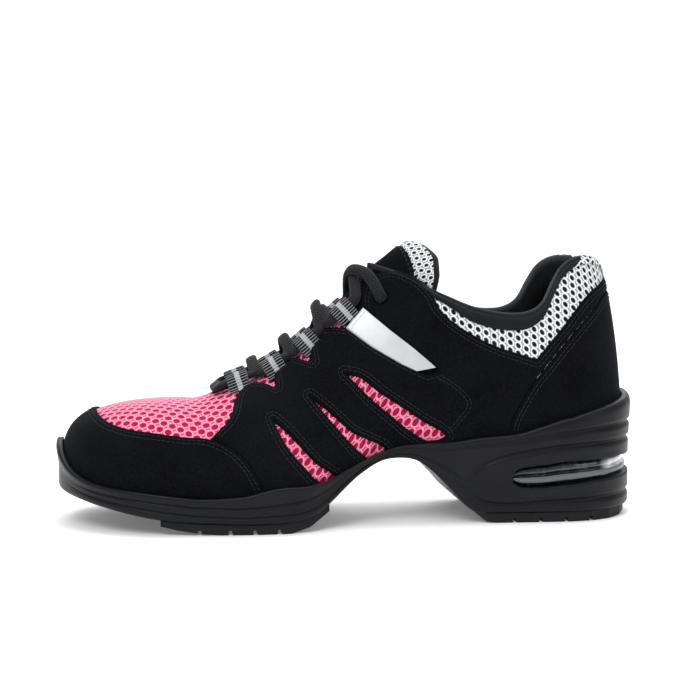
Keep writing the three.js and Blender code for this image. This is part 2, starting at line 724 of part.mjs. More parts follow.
function makeHeelTread() {
  const floor = [[0.72, 0.8], [0.735, 0], [0.955, 0], [1, 1.6]].map(([s, z]) => [s * LENGTH, z]);
  return makeTread(floor, [0.77, 0.815, 0.86, 0.905].map((s) => s * LENGTH));
}

// Insole on the footbed, inside the upper's wall
function makeInsole() {
  const levels = ["keel", "corner", "edge", "top"];
  return solidFrom(
    wrap(levels, (path, side, level) => {
      const low = featherHeight(path);
      const reach = profilePoint(path, side, 0, -WALL - GAP).x;
      if (level === "keel") return inSpace(path, side, 0, featherHeight(keel(path)));
      if (level === "corner") return inSpace(path, side, reach, low);
      if (level === "edge") return inSpace(path, side, reach - 0.4, low + INSOLE);
      return inSpace(path, side, 0, featherHeight(keel(path)) + INSOLE - 1);
    }),
  );
}

// Tongue: an arched padded sheet under the throat that stands proud above the collar
function makeTongue() {
  const rise = (path, height) => {
    return smooth(1.5, 1.58, path) * smooth(collarHeight(stationOf(path)), INSTEP_TOP - 8, height);
  };
  const outer = (path, height) =>
    -WALL - GAP * 1.6 - COLLAR_PAD * padUnder(path) + (TONGUE_PAD + 3) * rise(path, height);
  const inner = (path, height) => outer(path, height) - TONGUE - TONGUE_PAD * rise(path, height);
  const sheet = form(outer).subtract(form(inner, 2));
  const half = (s) => throatHalf(s) + 9;
  const stations = [0.25, 0.3, 0.4, 0.5, 0.58, 0.66].map((s) => s * LENGTH);
  const edge = (side) => stations.map((s) => [s - LENGTH / 2, axisAt(s) + side * half(s)]);
  const outline = upright([...edge(LATERAL), ...edge(MEDIAL).reverse()], 0, INSTEP_TOP * 2);
  const end = across(curved([
    [LENGTH * 0.25, INSTEP_TOP * 1.2], [LENGTH * 0.25, INSTEP_TOP * 0.3], [LENGTH * 0.4, INSTEP_TOP * 0.4],
    [LENGTH * 0.5, INSTEP_TOP * 0.57], [LENGTH * 0.6, INSTEP_TOP * 0.66], [LENGTH * 0.645, INSTEP_TOP * 0.7],
    [LENGTH * 0.655, INSTEP_TOP * 0.83], [LENGTH * 0.65, INSTEP_TOP * 0.92],
    [LENGTH * 0.632, INSTEP_TOP * 0.97], [LENGTH * 0.6, INSTEP_TOP * 1.03], [LENGTH * 0.58, INSTEP_TOP * 1.1],
  ], 1));
  return sheet.intersect(outline).intersect(end).subtract(upperWall(GAP));
}

// The padding's share behind the tongue's edges near the collar
function padUnder(path) {
  return smooth(1.56, 1.66, path);
}

// Layer of one side between two forms, cut to a side-view outline
function layer(inner, outer, outline, from, to) {
  return form(outer).subtract(form(inner, WALL)).intersect(across(outline, from, to));
}

function sides(side) {
  return side === LATERAL ? [-BALL_WIDTH, 0] : [0, BALL_WIDTH];
}

function makeToeCap() {
  const outline = [...panel(TOE_CAP_TOP), ...curved(panel(TOE_CAP_REAR), 1), [-LENGTH * 0.02, TOE_TOP * 0.1]];
  return layer(GAP, GAP + OVERLAY, outline, -BALL_WIDTH, BALL_WIDTH);
}

// Quarter panel's outline, with its scalloped front
function quarterOutline() {
  const seam = GAP * 1.2;
  const front = panel(TOE_CAP_REAR).reverse().map(([s, z]) => [s + seam, z]);
  const rear = panel(COUNTER_EDGE).slice(1).map(([s, z]) => [s - seam, z]);
  return [
    ...front,
    ...panel(VAMP_EDGE),
    ...SCALLOPS.flatMap((scallop) => panel(scallop)),
    ...panel(QUARTER_TOP),
    ...panel(COLLAR_SEAM),
    ...rear,
    [rear.at(-1)[0], TOE_TOP * 0.1],
  ];
}

// Quarter panel with its three slits and the patch cut out of it
function makeQuarter(side) {
  let quarter = layer(GAP, GAP + OVERLAY, quarterOutline(), ...sides(side));
  for (const slit of SLITS) quarter = quarter.subtract(across(panel(slit)));
  return quarter.subtract(across(grown(panel(FLASH), GAP))).subtract(eyeletHole(side)).subtract(collarCut());
}

// Outline moved out from its middle by a margin
function grown(outline, margin) {
  const middle = outline.reduce(([a, b], [s, z]) => [a + s / outline.length, b + z / outline.length], [0, 0]);
  return outline.map(([s, z]) => {
    const away = Math.hypot(s - middle[0], z - middle[1]);
    const k = (away + margin * 2) / away;
    return [middle[0] + (s - middle[0]) * k, middle[1] + (z - middle[1]) * k];
  });
}

function makeCounter() {
  const outline = [
    [LENGTH * 1.05, TOE_TOP * 1.97],
    [LENGTH * 0.937, TOE_TOP * 1.97],
    ...panel(COUNTER_EDGE).slice(1),
    [LENGTH * 0.758, TOE_TOP * 0.1],
    [LENGTH * 1.05, TOE_TOP * 0.1],
  ];
  return layer(GAP, GAP + OVERLAY, outline, -BALL_WIDTH, BALL_WIDTH);
}

function makeFlash(side) {
  return layer(GAP, GAP + OVERLAY, panel(FLASH), ...sides(side));
}

// Webbing folded round the lace: a flat ring with a short sewn end on the upper
function makeLoop(place, side) {
  const { point, along, over, normal } = seat(place, side, 0);
  const inward = over.clone().multiplyScalar(-side);
  const wide = LACE_WIDTH / 2 + 0.7;
  const tall = LACE_THICKNESS / 2 + 0.4;
  const middle = GAP + RIBBON + tall;
  const shape = new THREE.Shape(stadium(wide + RIBBON, tall + RIBBON, middle, 4, true));
  shape.holes.push(new THREE.Path(stadium(wide, tall, middle, 3, false).reverse()));
  const geometry = new THREE.ExtrudeGeometry(shape, { depth: RIBBON_WIDTH, bevelEnabled: false });
  geometry.translate(0, 0, -RIBBON_WIDTH / 2);
  const depth = new THREE.Vector3().crossVectors(inward, normal);
  geometry.applyMatrix4(new THREE.Matrix4().makeBasis(inward, normal, depth).setPosition(point));
  const ahead = quarterOutline().map(([s, z]) => [s - GAP, z + GAP]);
  return solid(geometry).subtract(form(GAP)).subtract(form(OVERLAY + 2 * GAP).intersect(across(ahead)));
}

// Flat oval on its side; sewn adds the short tail that lies on the upper
function stadium(wide, tall, middle, turns, sewn) {
  const points = [];
  for (let i = 0; i <= turns; i++) {
    const angle = -Math.PI / 2 + (Math.PI * i) / turns;
    points.push(new THREE.Vector2(wide - tall + tall * Math.cos(angle), middle + tall * Math.sin(angle)));
  }
  for (let i = 0; i <= turns; i++) {
    const angle = Math.PI / 2 + (Math.PI * i) / turns;
    if (sewn && i > 1) break;
    points.push(new THREE.Vector2(tall - wide + tall * Math.cos(angle), middle + tall * Math.sin(angle)));
  }
  if (sewn) {
    points.push(new THREE.Vector2(-wide - 2, middle - tall + 1.5 * RIBBON));
    points.push(new THREE.Vector2(-wide - 2, middle - tall));
  }
  return points;
}

// One lace from the lateral eyelet down to the first row, round in front and back up
function makeLace() {
  const stops = [];
  const stop = ({ point, normal }, rings = 2) => stops.push({ point, normal, rings });
  const drop = (side, lift) => stop(seat(TOP_EYELET, side, lift));
  const cross = (low, high, over) =>
    stop(aboveForm(((LOOPS[low].station + LOOPS[high].station) / 2) * LENGTH, 0, over ? 5.4 : 2.1));
  const last = { station: LOOPS[3].station + 0.035 };
  const through = (row, side, upward) => {
    const held = seat(LOOPS[row], side, GAP + RIBBON + LACE_THICKNESS / 2 + 0.4);
    const reach = (RIBBON_WIDTH / 2) * (upward ? 1 : -1);
    for (const share of [-1.55, -1, 1, 1.55]) {
      const point = held.point.clone().addScaledVector(held.along, reach * share);
      stop({ point, normal: held.normal }, share === 1.55 ? 3 : 1);
    }
  };
  drop(LATERAL, 0.4);
  drop(LATERAL, 3);
  stop(aboveForm(last.station * LENGTH + 4, -LACE_WIDTH, 4.5));
  stop(aboveForm(last.station * LENGTH, 1, 5.2));
  through(3, MEDIAL, false);
  cross(2, 3, true);
  through(2, LATERAL, false);
  cross(1, 2, true);
  through(1, MEDIAL, false);
  cross(0, 1, true);
  through(0, LATERAL, false);
  const front = LOOPS[0].station * LENGTH - RIBBON_WIDTH / 2 - 5.5;
  stop(aboveForm(front, -BALL_WIDTH * 0.07, 3));
  stop(aboveForm(front, BALL_WIDTH * 0.07, 3));
  through(0, MEDIAL, true);
  cross(0, 1, false);
  through(1, LATERAL, true);
  cross(1, 2, false);
  through(2, MEDIAL, true);
  cross(2, 3, false);
  through(3, LATERAL, true);
  stop(aboveForm(last.station * LENGTH, -1, 2.6));
  stop(aboveForm(last.station * LENGTH + 4, LACE_WIDTH, 3.6));
  drop(MEDIAL, 3);
  drop(MEDIAL, 0.4);
  return swept(stops, LACE_WIDTH, LACE_THICKNESS);
}

// Oval cord along stops, its flat side held to their normals; each stop says how many rings
// lead to the next. Each span is a solid of its own, so that the cord joins where it crosses
function swept(stops, wide, thick) {
  const curve = new THREE.CatmullRomCurve3(stops.map(({ point }) => point), false, "centripetal");
  const spans = stops.length - 1;
  const ringAt = (place) => {
    const span = Math.min(spans - 1, Math.floor(place));
    const normal = stops[span].normal.clone().lerp(stops[span + 1].normal, place - span);
    const tangent = curve.getTangent(place / spans);
    const out = new THREE.Vector3().crossVectors(tangent, normal).normalize();
    const up = new THREE.Vector3().crossVectors(out, tangent);
    const middle = curve.getPoint(place / spans);
    return Array.from({ length: 6 }, (_, k) => {
      const angle = (k * Math.PI) / 3;
      return middle
        .clone()
        .addScaledVector(out, (Math.cos(angle) * wide) / 2)
        .addScaledVector(up, (Math.sin(angle) * thick) / 2);
    });
  };
  const pieces = stops.slice(0, -1).map(({ rings: count }, span) => {
    const rings = [...steps(span, span + 1, count), span + 1].map(ringAt);
    const tube = skin(rings.map((ring) => [...ring, ring[0]]), false);
    addCap(tube, rings[0], true);
    addCap(tube, rings.at(-1), false);
    return solidFrom(tube);
  });
  return pieces.reduce((cord, piece) => cord.add(piece));
}

// Flat fan that closes the end of a tube
function addCap(tube, ring, flip) {
  for (let i = 1; i + 1 < ring.length; i++) {
    const corners = flip ? [ring[0], ring[i + 1], ring[i]] : [ring[0], ring[i], ring[i + 1]];
    corners.forEach((p) => tube.push(p.x, p.y, p.z));
  }
}

function mesh(name, manifold, colour, roughness, metalness = 0) {
  const made = manifold.getMesh();
  const geometry = new THREE.BufferGeometry();
  geometry.setAttribute("position", new THREE.BufferAttribute(made.vertProperties, 3));
  geometry.setIndex(new THREE.BufferAttribute(made.triVerts, 1));
  geometry.computeVertexNormals();
  const finish = new THREE.MeshStandardMaterial({ color: colour, roughness, metalness });
  const piece = new THREE.Mesh(geometry, finish);
  piece.name = name;
  return piece;
}

const RUBBER = 0x1b1c20;
const SUEDE = 0x0d0e11;
const PINK = 0xff4f86;
const SILVER = 0xd9dde0;
const WEBBING = 0x2a2c31;

const shoe = new THREE.Group();
shoe.add(mesh("sole", makeSole(), RUBBER, 0.5));
shoe.add(mesh("heel_cushion", makeCushion(), 0xdfe6ea, 0.1));
shoe.add(mesh("forefoot_tread", makeForefootTread(), RUBBER, 0.8));
shoe.add(mesh("heel_tread", makeHeelTread(), RUBBER, 0.8));
shoe.add(mesh("insole", makeInsole(), SUEDE, 0.9));
shoe.add(mesh("upper", makeUpper(), PINK, 0.8));
shoe.add(mesh("tongue", makeTongue(), SUEDE, 0.9));
shoe.add(mesh("toe_cap", makeToeCap(), SUEDE, 0.9));
shoe.add(mesh("heel_counter", makeCounter(), SUEDE, 0.9));
for (const [side, label] of [[LATERAL, "lateral"], [MEDIAL, "medial"]]) {
  shoe.add(mesh(`quarter_${label}`, makeQuarter(side), SUEDE, 0.9));
  shoe.add(mesh(`flash_${label}`, makeFlash(side), SILVER, 0.35));
  LOOPS.forEach((place, row) => {
    shoe.add(mesh(`lace_loop_${label}_${row + 1}`, makeLoop(place, side), WEBBING, 0.8));
  });
}
shoe.add(mesh("lace", makeLace(), SUEDE, 0.8));

export default shoe;
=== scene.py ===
"""Looks of a low lace-up dance sneaker for the left foot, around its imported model.

The form is the same as in the part's source, in millimetres, and is sampled finely here. A path
runs round the shoe on each side: 0 to 1 round the toe, 1 to 2 straight back, 2 to 3 round the
heel. A climb from 0 to 1 goes from the feather edge up to the ridge over the foot.
"""
import math

import bmesh
import bpy
import numpy as np
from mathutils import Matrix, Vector


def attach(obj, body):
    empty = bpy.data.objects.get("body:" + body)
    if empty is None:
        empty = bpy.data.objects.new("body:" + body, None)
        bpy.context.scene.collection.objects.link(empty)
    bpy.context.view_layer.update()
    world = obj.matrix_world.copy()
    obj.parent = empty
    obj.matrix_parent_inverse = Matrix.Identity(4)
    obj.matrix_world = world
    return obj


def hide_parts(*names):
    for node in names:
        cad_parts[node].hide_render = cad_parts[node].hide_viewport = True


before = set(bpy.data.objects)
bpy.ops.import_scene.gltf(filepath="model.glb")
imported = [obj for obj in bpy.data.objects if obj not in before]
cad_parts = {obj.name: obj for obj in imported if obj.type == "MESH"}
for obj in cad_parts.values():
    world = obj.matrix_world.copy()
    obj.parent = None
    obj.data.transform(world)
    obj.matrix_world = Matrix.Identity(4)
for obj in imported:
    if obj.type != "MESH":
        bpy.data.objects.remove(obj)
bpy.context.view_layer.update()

# Driving sizes in millimetres, as in the part's source
MM = 0.001
LENGTH = 257.0
BALL_WIDTH = 87.0
HEEL_WIDTH = 60.0
TOE_TOP = 52.8
INSTEP_TOP = 127.0
HEEL_SEAT = 37.5
BALL_SEAT = 10.5
TOE_SEAT = 19.0
COLLAR_TOP = 115.0
COLLAR_DIP = 25.5
GAP = 0.3
WALL = 2.0
COLLAR_PAD = 5.5
COLLAR_PAD_DEPTH = 24.0
OVERLAY = 1.2
RIM = 2.2
RIM_HEIGHT = 17.5
RIM_ROUND = 2.2
TREAD = 4.0
ARCH_HEIGHT = 29.0
TOE_SPRING = 14.5
LIP = 5.0
SOLE_GROOVE = 1.5
INSOLE = 4.5
TONGUE = 5.0
TONGUE_PAD = 4.0
TONGUE_RISE = 2.5
TONGUE_BAND = 12.0
TONGUE_BINDING = 3.0
TONGUE_PINK = 0.487
LACE_WIDTH = 5.2
LACE_THICKNESS = 3.0
RIBBON = 0.8
RIBBON_WIDTH = 9.6
TOE_CENTRE = 0.23
HEEL_CENTRE = 0.866
THROAT_START = 0.262
COLLAR_START = 0.54
TONGUE_OVERLAP = 9.0
STITCH_PITCH = 2.1
STITCH_LENGTH = 1.45
STITCH_THICKNESS = 0.34
STITCH_ROOM = 1.35
SEAM_ROWS = (1.5, 3.0)
LATERAL = -1
MEDIAL = 1
SIDES = ((LATERAL, "lateral"), (MEDIAL, "medial"))


# Tables of the form


def table(columns, rows):
    data = np.array(rows, float)
    return {name: (data[:, 0], data[:, i]) for i, name in enumerate(columns)}


SECTIONS = table(
    "path axis lateral medial heel toe ridge wallOut wallUp crownOut crownUp".split(),
    [
        [0.0, 0.05, 0.53, 0.452, 0, 1.0, 0, 1.08, 0.74, 0.87, 1.04],
        [0.5, 0.05, 0.53, 0.452, 0, 0.72, 0, 1.07, 0.7, 0.8, 1.03],
        [1.0, 0.05, 0.53, 0.452, 0, 0.22, 0, 1.06, 0.6, 0.64, 1.0],
        [1.12, 0.006, 0.507, 0.486, 0, 0, 0.115, 1.07, 0.52, 0.54, 0.98],
        [1.21, -0.011, 0.49, 0.462, 0.01, 0, 0.22, 1.09, 0.44, 0.48, 0.95],
        [1.3, -0.029, 0.457, 0.418, 0.1, 0, 0.38, 1.12, 0.39, 0.48, 0.96],
        [1.39, -0.037, 0.421, 0.392, 0.37, 0, 0.6, 1.15, 0.37, 0.52, 0.97],
        [1.49, -0.033, 0.432, 0.42, 0.72, 0, 0.83, 1.14, 0.36, 0.6, 0.97],
        [1.54, -0.027, 0.441, 0.43, 0.83, 0, 0.9, 1.12, 0.36, 0.65, 0.97],
        [1.61, -0.017, 0.455, 0.447, 0.865, 0, 0.97, 1.09, 0.35, 0.72, 0.98],
        [1.67, -0.01, 0.475, 0.467, 0.88, 0, 1.03, 1.06, 0.34, 0.8, 1.0],
        [1.85, 0.0, 0.5, 0.495, 0.945, 0, 1.2, 1.03, 0.32, 0.9, 1.0],
        [2.0, 0.0, 0.503, 0.5, 1.0, 0, 1.31, 1.02, 0.3, 0.86, 0.96],
        [2.5, 0.0, 0.503, 0.5, 1.01, 0, 1.31, 1.01, 0.3, 0.76, 0.9],
        [3.0, 0.0, 0.503, 0.5, 1.02, 0, 1.31, 1.0, 0.3, 0.67, 0.85],
    ],
)

SOLE_SIDE = table(
    "path rim arch toe lip upper middle lower upperDepth heelDepth round".split(),
    [
        [0.0, 1.0, 0, 1.0, 0.8, 0.62, 0.38, 0.1, 0, 0, 0.5],
        [0.1, 0.84, 0, 0.98, 0.8, 0.62, 0.38, 0.1, 0, 0, 0.5],
        [0.28, 0.4, 0, 0.86, 0.78, 0.62, 0.38, 0.1, 0.1, 0, 0.4],
        [0.45, 0.2, 0, 0.66, 0.76, 0.64, 0.36, 0.1, 0.35, 0, 0.3],
        [0.75, 0.18, 0, 0.26, 0.72, 0.65, 0.33, 0.1, 0.4, 0, 0.3],
        [1.0, 0.18, 0, 0.07, 0.7, 0.65, 0.3, 0.09, 0.4, 0, 0.3],
        [1.12, 0.34, 0, 0, 0.7, 0.56, 0.24, 0.08, 0.4, 0, 0.3],
        [1.21, 0.51, 0, 0, 0.7, 0.52, 0.22, 0.08, 0.4, 0, 0.3],
        [1.3, 0.42, 0.09, 0, 0.62, 0.6, 0.24, 0.08, 0.4, 0, 0.3],
        [1.345, 0.32, 0.27, 0, 0.56, 0.66, 0.28, 0.08, 0.4, 0, 0.3],
        [1.39, 0.27, 0.51, 0, 0.52, 0.7, 0.32, 0.1, 0.35, 0, 0.3],
        [1.43, 0.22, 0.72, 0, 0.46, 0.72, 0.34, 0.12, 0.3, 0, 0.3],
        [1.49, 0.12, 0.95, 0, 0.4, 0.72, 0.36, 0.14, 0.25, 0, 0.3],
        [1.54, 0.1, 1.0, 0, 0.4, 0.72, 0.36, 0.14, 0.25, 0, 0.3],
        [1.585, 0.09, 0.95, 0, 0.42, 0.74, 0.36, 0.14, 0.25, 0, 0.3],
        [1.62, 0.08, 0.8, 0, 0.44, 0.79, 0.38, 0.16, 0.25, 0, 0.3],
        [1.655, 0.08, 0.58, 0, 0.46, 0.85, 0.39, 0.2, 0.3, 0, 0.3],
        [1.685, 0.09, 0.37, 0, 0.5, 0.88, 0.4, 0.24, 0.35, 0, 0.35],
        [1.715, 0.12, 0.15, 0, 0.55, 0.9, 0.41, 0.28, 0.4, 0.2, 0.4],
        [1.745, 0.15, 0.02, 0, 0.6, 0.91, 0.58, 0.19, 0.45, 0.6, 0.45],
        [1.79, 0.16, 0, 0, 0.7, 0.91, 0.69, 0.13, 0.5, 0.7, 0.5],
        [1.85, 0.18, 0, 0, 0.78, 0.92, 0.745, 0.11, 0.55, 0.75, 0.55],
        [1.92, 0.32, 0, 0, 0.84, 0.885, 0.73, 0.12, 0.6, 0.8, 0.65],
        [2.0, 0.49, 0, 0, 0.88, 0.84, 0.7, 0.125, 0.75, 0.9, 0.8],
        [2.45, 0.8, 0, 0, 0.94, 0.79, 0.64, 0.13, 1, 1, 1],
        [3.0, 1.0, 0, 0, 0.98, 0.75, 0.607, 0.14, 1, 1, 1],
    ],
)

WINDOW = table(
    ["path", "low", "high"],
    [[1.85, 0.42, 0.64], [1.92, 0.41, 0.672], [2.0, 0.44, 0.71], [2.5, 0.5, 0.733], [3.0, 0.54, 0.75]],
)
WINDOW_START = 1.84
WINDOW_ROUND = 0.035

COLLAR = table(
    ["station", "drop"],
    [
        [0.54, 0.1], [0.575, 0.22], [0.605, 0.35], [0.635, 0.56], [0.665, 0.72], [0.7, 0.87],
        [0.735, 0.96], [0.77, 1.0], [0.8, 0.96], [0.823, 0.8], [0.84, 0.47], [0.855, 0.22],
        [0.877, 0.06], [0.912, 0.0], [0.93, 0.06], [0.942, 0.22], [0.952, 0.5], [1.0, 1.6],
    ],
)

THROAT = table(
    ["station", "half"],
    [
        [THROAT_START, 0.0], [0.265, 0.055], [0.275, 0.09], [0.3, 0.11], [0.4, 0.12], [0.48, 0.14],
        [0.53, 0.13], [0.6, 0.13], [0.64, 0.14],
    ],
)

# Panel outlines in side view: station as a share of LENGTH, height as a share of TOE_TOP
TOE_CAP_TOP = [
    (-0.02, 0.94), (0.055, 0.94), (0.068, 0.9), (0.088, 0.85), (0.12, 0.81), (0.17, 0.78),
    (0.213, 0.75), (0.252, 0.733),
]
TOE_CAP_REAR = [(0.279, 0.69), (0.298, 0.63), (0.316, 0.54), (0.329, 0.44), (0.338, 0.34), (0.34, 0.1)]
VAMP_EDGE = [(0.255, 0.735), (0.27, 0.8), (0.284, 0.86), (0.293, 0.93), (0.299, 1.02)]
SCALLOPS = [
    [(0.306, 1.07), (0.318, 1.115), (0.335, 1.14), (0.35, 1.14), (0.367, 1.112)],
    [(0.366, 1.21), (0.378, 1.29), (0.395, 1.335), (0.41, 1.34), (0.428, 1.317)],
    [(0.426, 1.45), (0.436, 1.53), (0.452, 1.585), (0.47, 1.6), (0.484, 1.6)],
]
QUARTER_TOP = [
    (0.515, 1.78), (0.52, 1.91), (0.535, 2.01), (0.561, 2.07), (0.585, 2.05), (0.607, 2.0),
    (0.624, 1.93), (0.636, 1.85),
]
COLLAR_SEAM = [
    (0.64, 1.79), (0.653, 1.71), (0.679, 1.61), (0.714, 1.51), (0.747, 1.44), (0.783, 1.385),
    (0.807, 1.345), (0.829, 1.47), (0.854, 1.61), (0.884, 1.79), (0.905, 1.89), (0.925, 1.95),
]
HEEL_SEAM = [(0.943, 2.0), (0.97, 2.02), (1.05, 2.03)]
COUNTER_LINE = [
    (1.05, 1.93), (0.97, 1.925), (0.937, 1.87), (0.911, 1.75), (0.884, 1.62), (0.854, 1.455),
    (0.825, 1.285), (0.797, 1.12), (0.78, 0.98), (0.766, 0.85), (0.76, 0.7), (0.758, 0.5),
]
SLITS = [
    [
        (0.357, 0.885), (0.372, 0.83), (0.394, 0.725), (0.427, 0.555), (0.462, 0.42), (0.434, 0.39),
        (0.406, 0.52), (0.377, 0.69),
    ],
    [
        (0.42, 1.065), (0.448, 0.965), (0.471, 0.865), (0.491, 0.78), (0.55, 0.62), (0.523, 0.545),
        (0.503, 0.605), (0.46, 0.83),
    ],
    [
        (0.481, 1.245), (0.507, 1.215), (0.542, 1.085), (0.575, 0.98), (0.61, 0.865), (0.652, 0.73),
        (0.624, 0.68), (0.592, 0.76), (0.558, 0.895), (0.525, 1.03),
    ],
]
FLASH = [
    (0.517, 1.77), (0.486, 1.6), (0.528, 1.45), (0.578, 1.31), (0.62, 1.215), (0.643, 1.25),
    (0.631, 1.31), (0.6, 1.44), (0.559, 1.595),
]
# Rear edge of the upper layer of suede round the slits
LAYER_EDGE = [
    (0.643, 1.25), (0.664, 1.194), (0.685, 1.112), (0.699, 1.02), (0.697, 0.938), (0.682, 0.84),
    (0.664, 0.741), (0.657, 0.7), (0.66, 0.5), (0.665, 0.1),
]
LOOPS = [(0.31, 0.118), (0.371, 0.118), (0.427, 0.122), (0.487, 0.13)]
TOP_EYELET = (0.549, 0.178)

# Width of the collar's black edge over the mesh
COLLAR_BAND = table(
    ["station", "width"],
    [[0.54, 2.8], [0.65, 3.0], [0.7, 5.4], [0.78, 5.6], [0.83, 4.0], [0.86, 3.2], [0.9, 2.2], [1.0, 1.8]],
)

# Tongue's end, by the distance from its middle
TONGUE_END = table(
    ["aside", "station"],
    [[0, 0.636], [8, 0.645], [14, 0.655], [18, 0.655], [21, 0.645], [26, 0.62]],
)


# The form


def lookup(source, column, key):
    """Smooth value of a table's column, by cubic pieces, level between two equal rows."""
    keys, values = source[column]
    key = np.clip(np.asarray(key, float), keys[0], keys[-1])
    last = len(keys) - 1
    i = np.clip(np.searchsorted(keys, key) - 1, 0, last - 1)
    before = np.maximum(np.arange(last + 1) - 1, 0)
    after = np.minimum(np.arange(last + 1) + 1, last)
    slope = (values[after] - values[before]) / (keys[after] - keys[before])
    h = keys[i + 1] - keys[i]
    t = (key - keys[i]) / h
    s = 1 - t
    ends = values[i] * s * s * (1 + 2 * t) + values[i + 1] * t * t * (1 + 2 * s)
    curved = ends + slope[i] * h * t * s * s - slope[i + 1] * h * t * t * s
    return np.where(values[i] == values[i + 1], values[i], curved)


def smooth(low, high, value):
    t = np.clip((value - low) / (high - low), 0.0, 1.0)
    return t * t * (3 - 2 * t)


def mix(a, b, share):
    return a + (b - a) * share


def local_width(path):
    return mix(BALL_WIDTH, HEEL_WIDTH, smooth(1.25, 1.5, path))


def station_of(path):
    return LENGTH * mix(TOE_CENTRE, HEEL_CENTRE, np.clip(path - 1, 0, 1))


def path_of(station):
    return 1 + (station / LENGTH - TOE_CENTRE) / (HEEL_CENTRE - TOE_CENTRE)


def oval_radius(angle, along, across, power):
    total = np.abs(np.cos(angle) / along) ** power + np.abs(np.sin(angle) / across) ** power
    return total ** (-1 / power)


def footing(path, side):
    """Centre-line point, outward direction and reach of the upper at its feather edge."""
    path = np.asarray(path, float)
    side = np.broadcast_to(np.asarray(side, float), path.shape)
    width = local_width(path)
    lateral = lookup(SECTIONS, "lateral", path)
    half = width * np.where(side < 0, lateral, lookup(SECTIONS, "medial", path))
    origin = np.stack([station_of(path) - LENGTH / 2, width * lookup(SECTIONS, "axis", path)], -1)
    toe_angle = np.clip(path, 0, 1) * math.pi / 2
    heel_angle = (np.clip(path, 2, 3) - 2) * math.pi / 2
    power = np.where(side < 0, 2.0, 2.25)
    toe_reach = oval_radius(toe_angle, TOE_CENTRE * LENGTH - LIP * 0.8, half, power)
    heel_reach = oval_radius(math.pi / 2 - heel_angle, (1 - HEEL_CENTRE) * LENGTH - LIP, half, 2.05)
    reach = np.where(path < 1, toe_reach, np.where(path > 2, heel_reach, half))
    out_x = np.where(path < 1, -np.cos(toe_angle), np.sin(heel_angle))
    out_y = side * np.where(path < 1, np.sin(toe_angle), np.cos(heel_angle))
    return origin, np.stack([out_x, out_y], -1), reach


def feather(path):
    heel = lookup(SECTIONS, "heel", path)
    toe = lookup(SECTIONS, "toe", path)
    return BALL_SEAT + (HEEL_SEAT - BALL_SEAT) * heel + (TOE_SEAT - BALL_SEAT) * toe


def ridge(path):
    return TOE_TOP + (INSTEP_TOP - TOE_TOP) * lookup(SECTIONS, "ridge", path)


def profile(path, side, climb, offset=0.0):
    """Distance from the centre line and height at a climb, moved out along the profile's normal."""
    reach = footing(path, side)[2]
    low = feather(path)
    rise = ridge(path) - low
    xs = [reach, reach * lookup(SECTIONS, "wallOut", path), reach * lookup(SECTIONS, "crownOut", path), 0]
    ups = [0, lookup(SECTIONS, "wallUp", path), lookup(SECTIONS, "crownUp", path), 1]
    ys = [low + rise * up for up in ups]
    t, s = climb, 1 - climb

    def at(p):
        return s**3 * p[0] + 3 * s * s * t * p[1] + 3 * s * t * t * p[2] + t**3 * p[3]

    def going(p):
        return s * s * (p[1] - p[0]) + 2 * s * t * (p[2] - p[1]) + t * t * (p[3] - p[2])

    x, y, dx, dy = at(xs), at(ys), going(xs), going(ys)
    size = np.hypot(dx, dy)
    distance = offset(path, y) if callable(offset) else offset
    top = np.asarray(climb) >= 1
    return (
        np.where(top, 0.0, x + dy / size * distance),
        np.where(top, y + distance, y - dx / size * distance),
    )


def in_space(path, side, distance, height):
    origin, out, _ = footing(path, side)
    distance, height = np.broadcast_arrays(distance, height)
    return np.stack(
        [origin[..., 0] + out[..., 0] * distance, origin[..., 1] + out[..., 1] * distance, height], -1
    )


def surface(path, side, climb, offset=0.0):
    path, side, climb = np.broadcast_arrays(np.asarray(path, float), side, climb)
    x, y = profile(path, side, climb, offset)
    return in_space(path, side, x, y)


def bisect(below, low, high, shape):
    """Largest value for which below() still holds, one for each place."""
    low = np.full(shape, float(low))
    high = np.full(shape, float(high))
    for _ in range(26):
        middle = (low + high) / 2
        under = below(middle)
        low, high = np.where(under, middle, low), np.where(under, high, middle)
    return (low + high) / 2


def reach_at_height(path, side, height, offset):
    climb = bisect(lambda c: profile(path, side, c, offset)[1] < height, 0, 0.75, np.shape(path))
    return profile(path, side, climb, offset)[0]


def collar_height(station):
    return COLLAR_TOP - COLLAR_DIP * lookup(COLLAR, "drop", station / LENGTH)


def collar_climb(path, side, below=0.0):
    """Climb at which the outer surface meets the collar line, or lies a distance below it."""

    def under(climb):
        point = surface(path, side, climb)
        return point[..., 2] < collar_height(point[..., 0] + LENGTH / 2) - below

    return bisect(under, 0.2, 0.99, np.shape(path))


def throat_half(station):
    return BALL_WIDTH * lookup(THROAT, "half", station / LENGTH)


def inner_offset(path, height):
    """Inner face of the upper: a plain wall that thickens into the collar's padding."""
    station = np.maximum(station_of(path), COLLAR_START * LENGTH)
    line = np.where(path > 2, COLLAR_TOP, collar_height(station))
    padded = smooth(1.56, 1.7, path) * smooth(line - COLLAR_PAD_DEPTH, line - 6, height)
    return -WALL - COLLAR_PAD * padded


def on_form(station, aside):
    side = np.where(np.asarray(aside) < 0, LATERAL, MEDIAL)
    station, aside, side = np.broadcast_arrays(np.asarray(station, float), aside, side)
    path = path_of(station)
    climb = bisect(lambda c: profile(path, side, c)[0] > np.abs(aside), 0.2, 1, path.shape)
    x, y = profile(path, side, climb)
    return in_space(path, side, x, y)


def unit(v):
    return v / np.maximum(np.linalg.norm(v, axis=-1, keepdims=True), 1e-12)


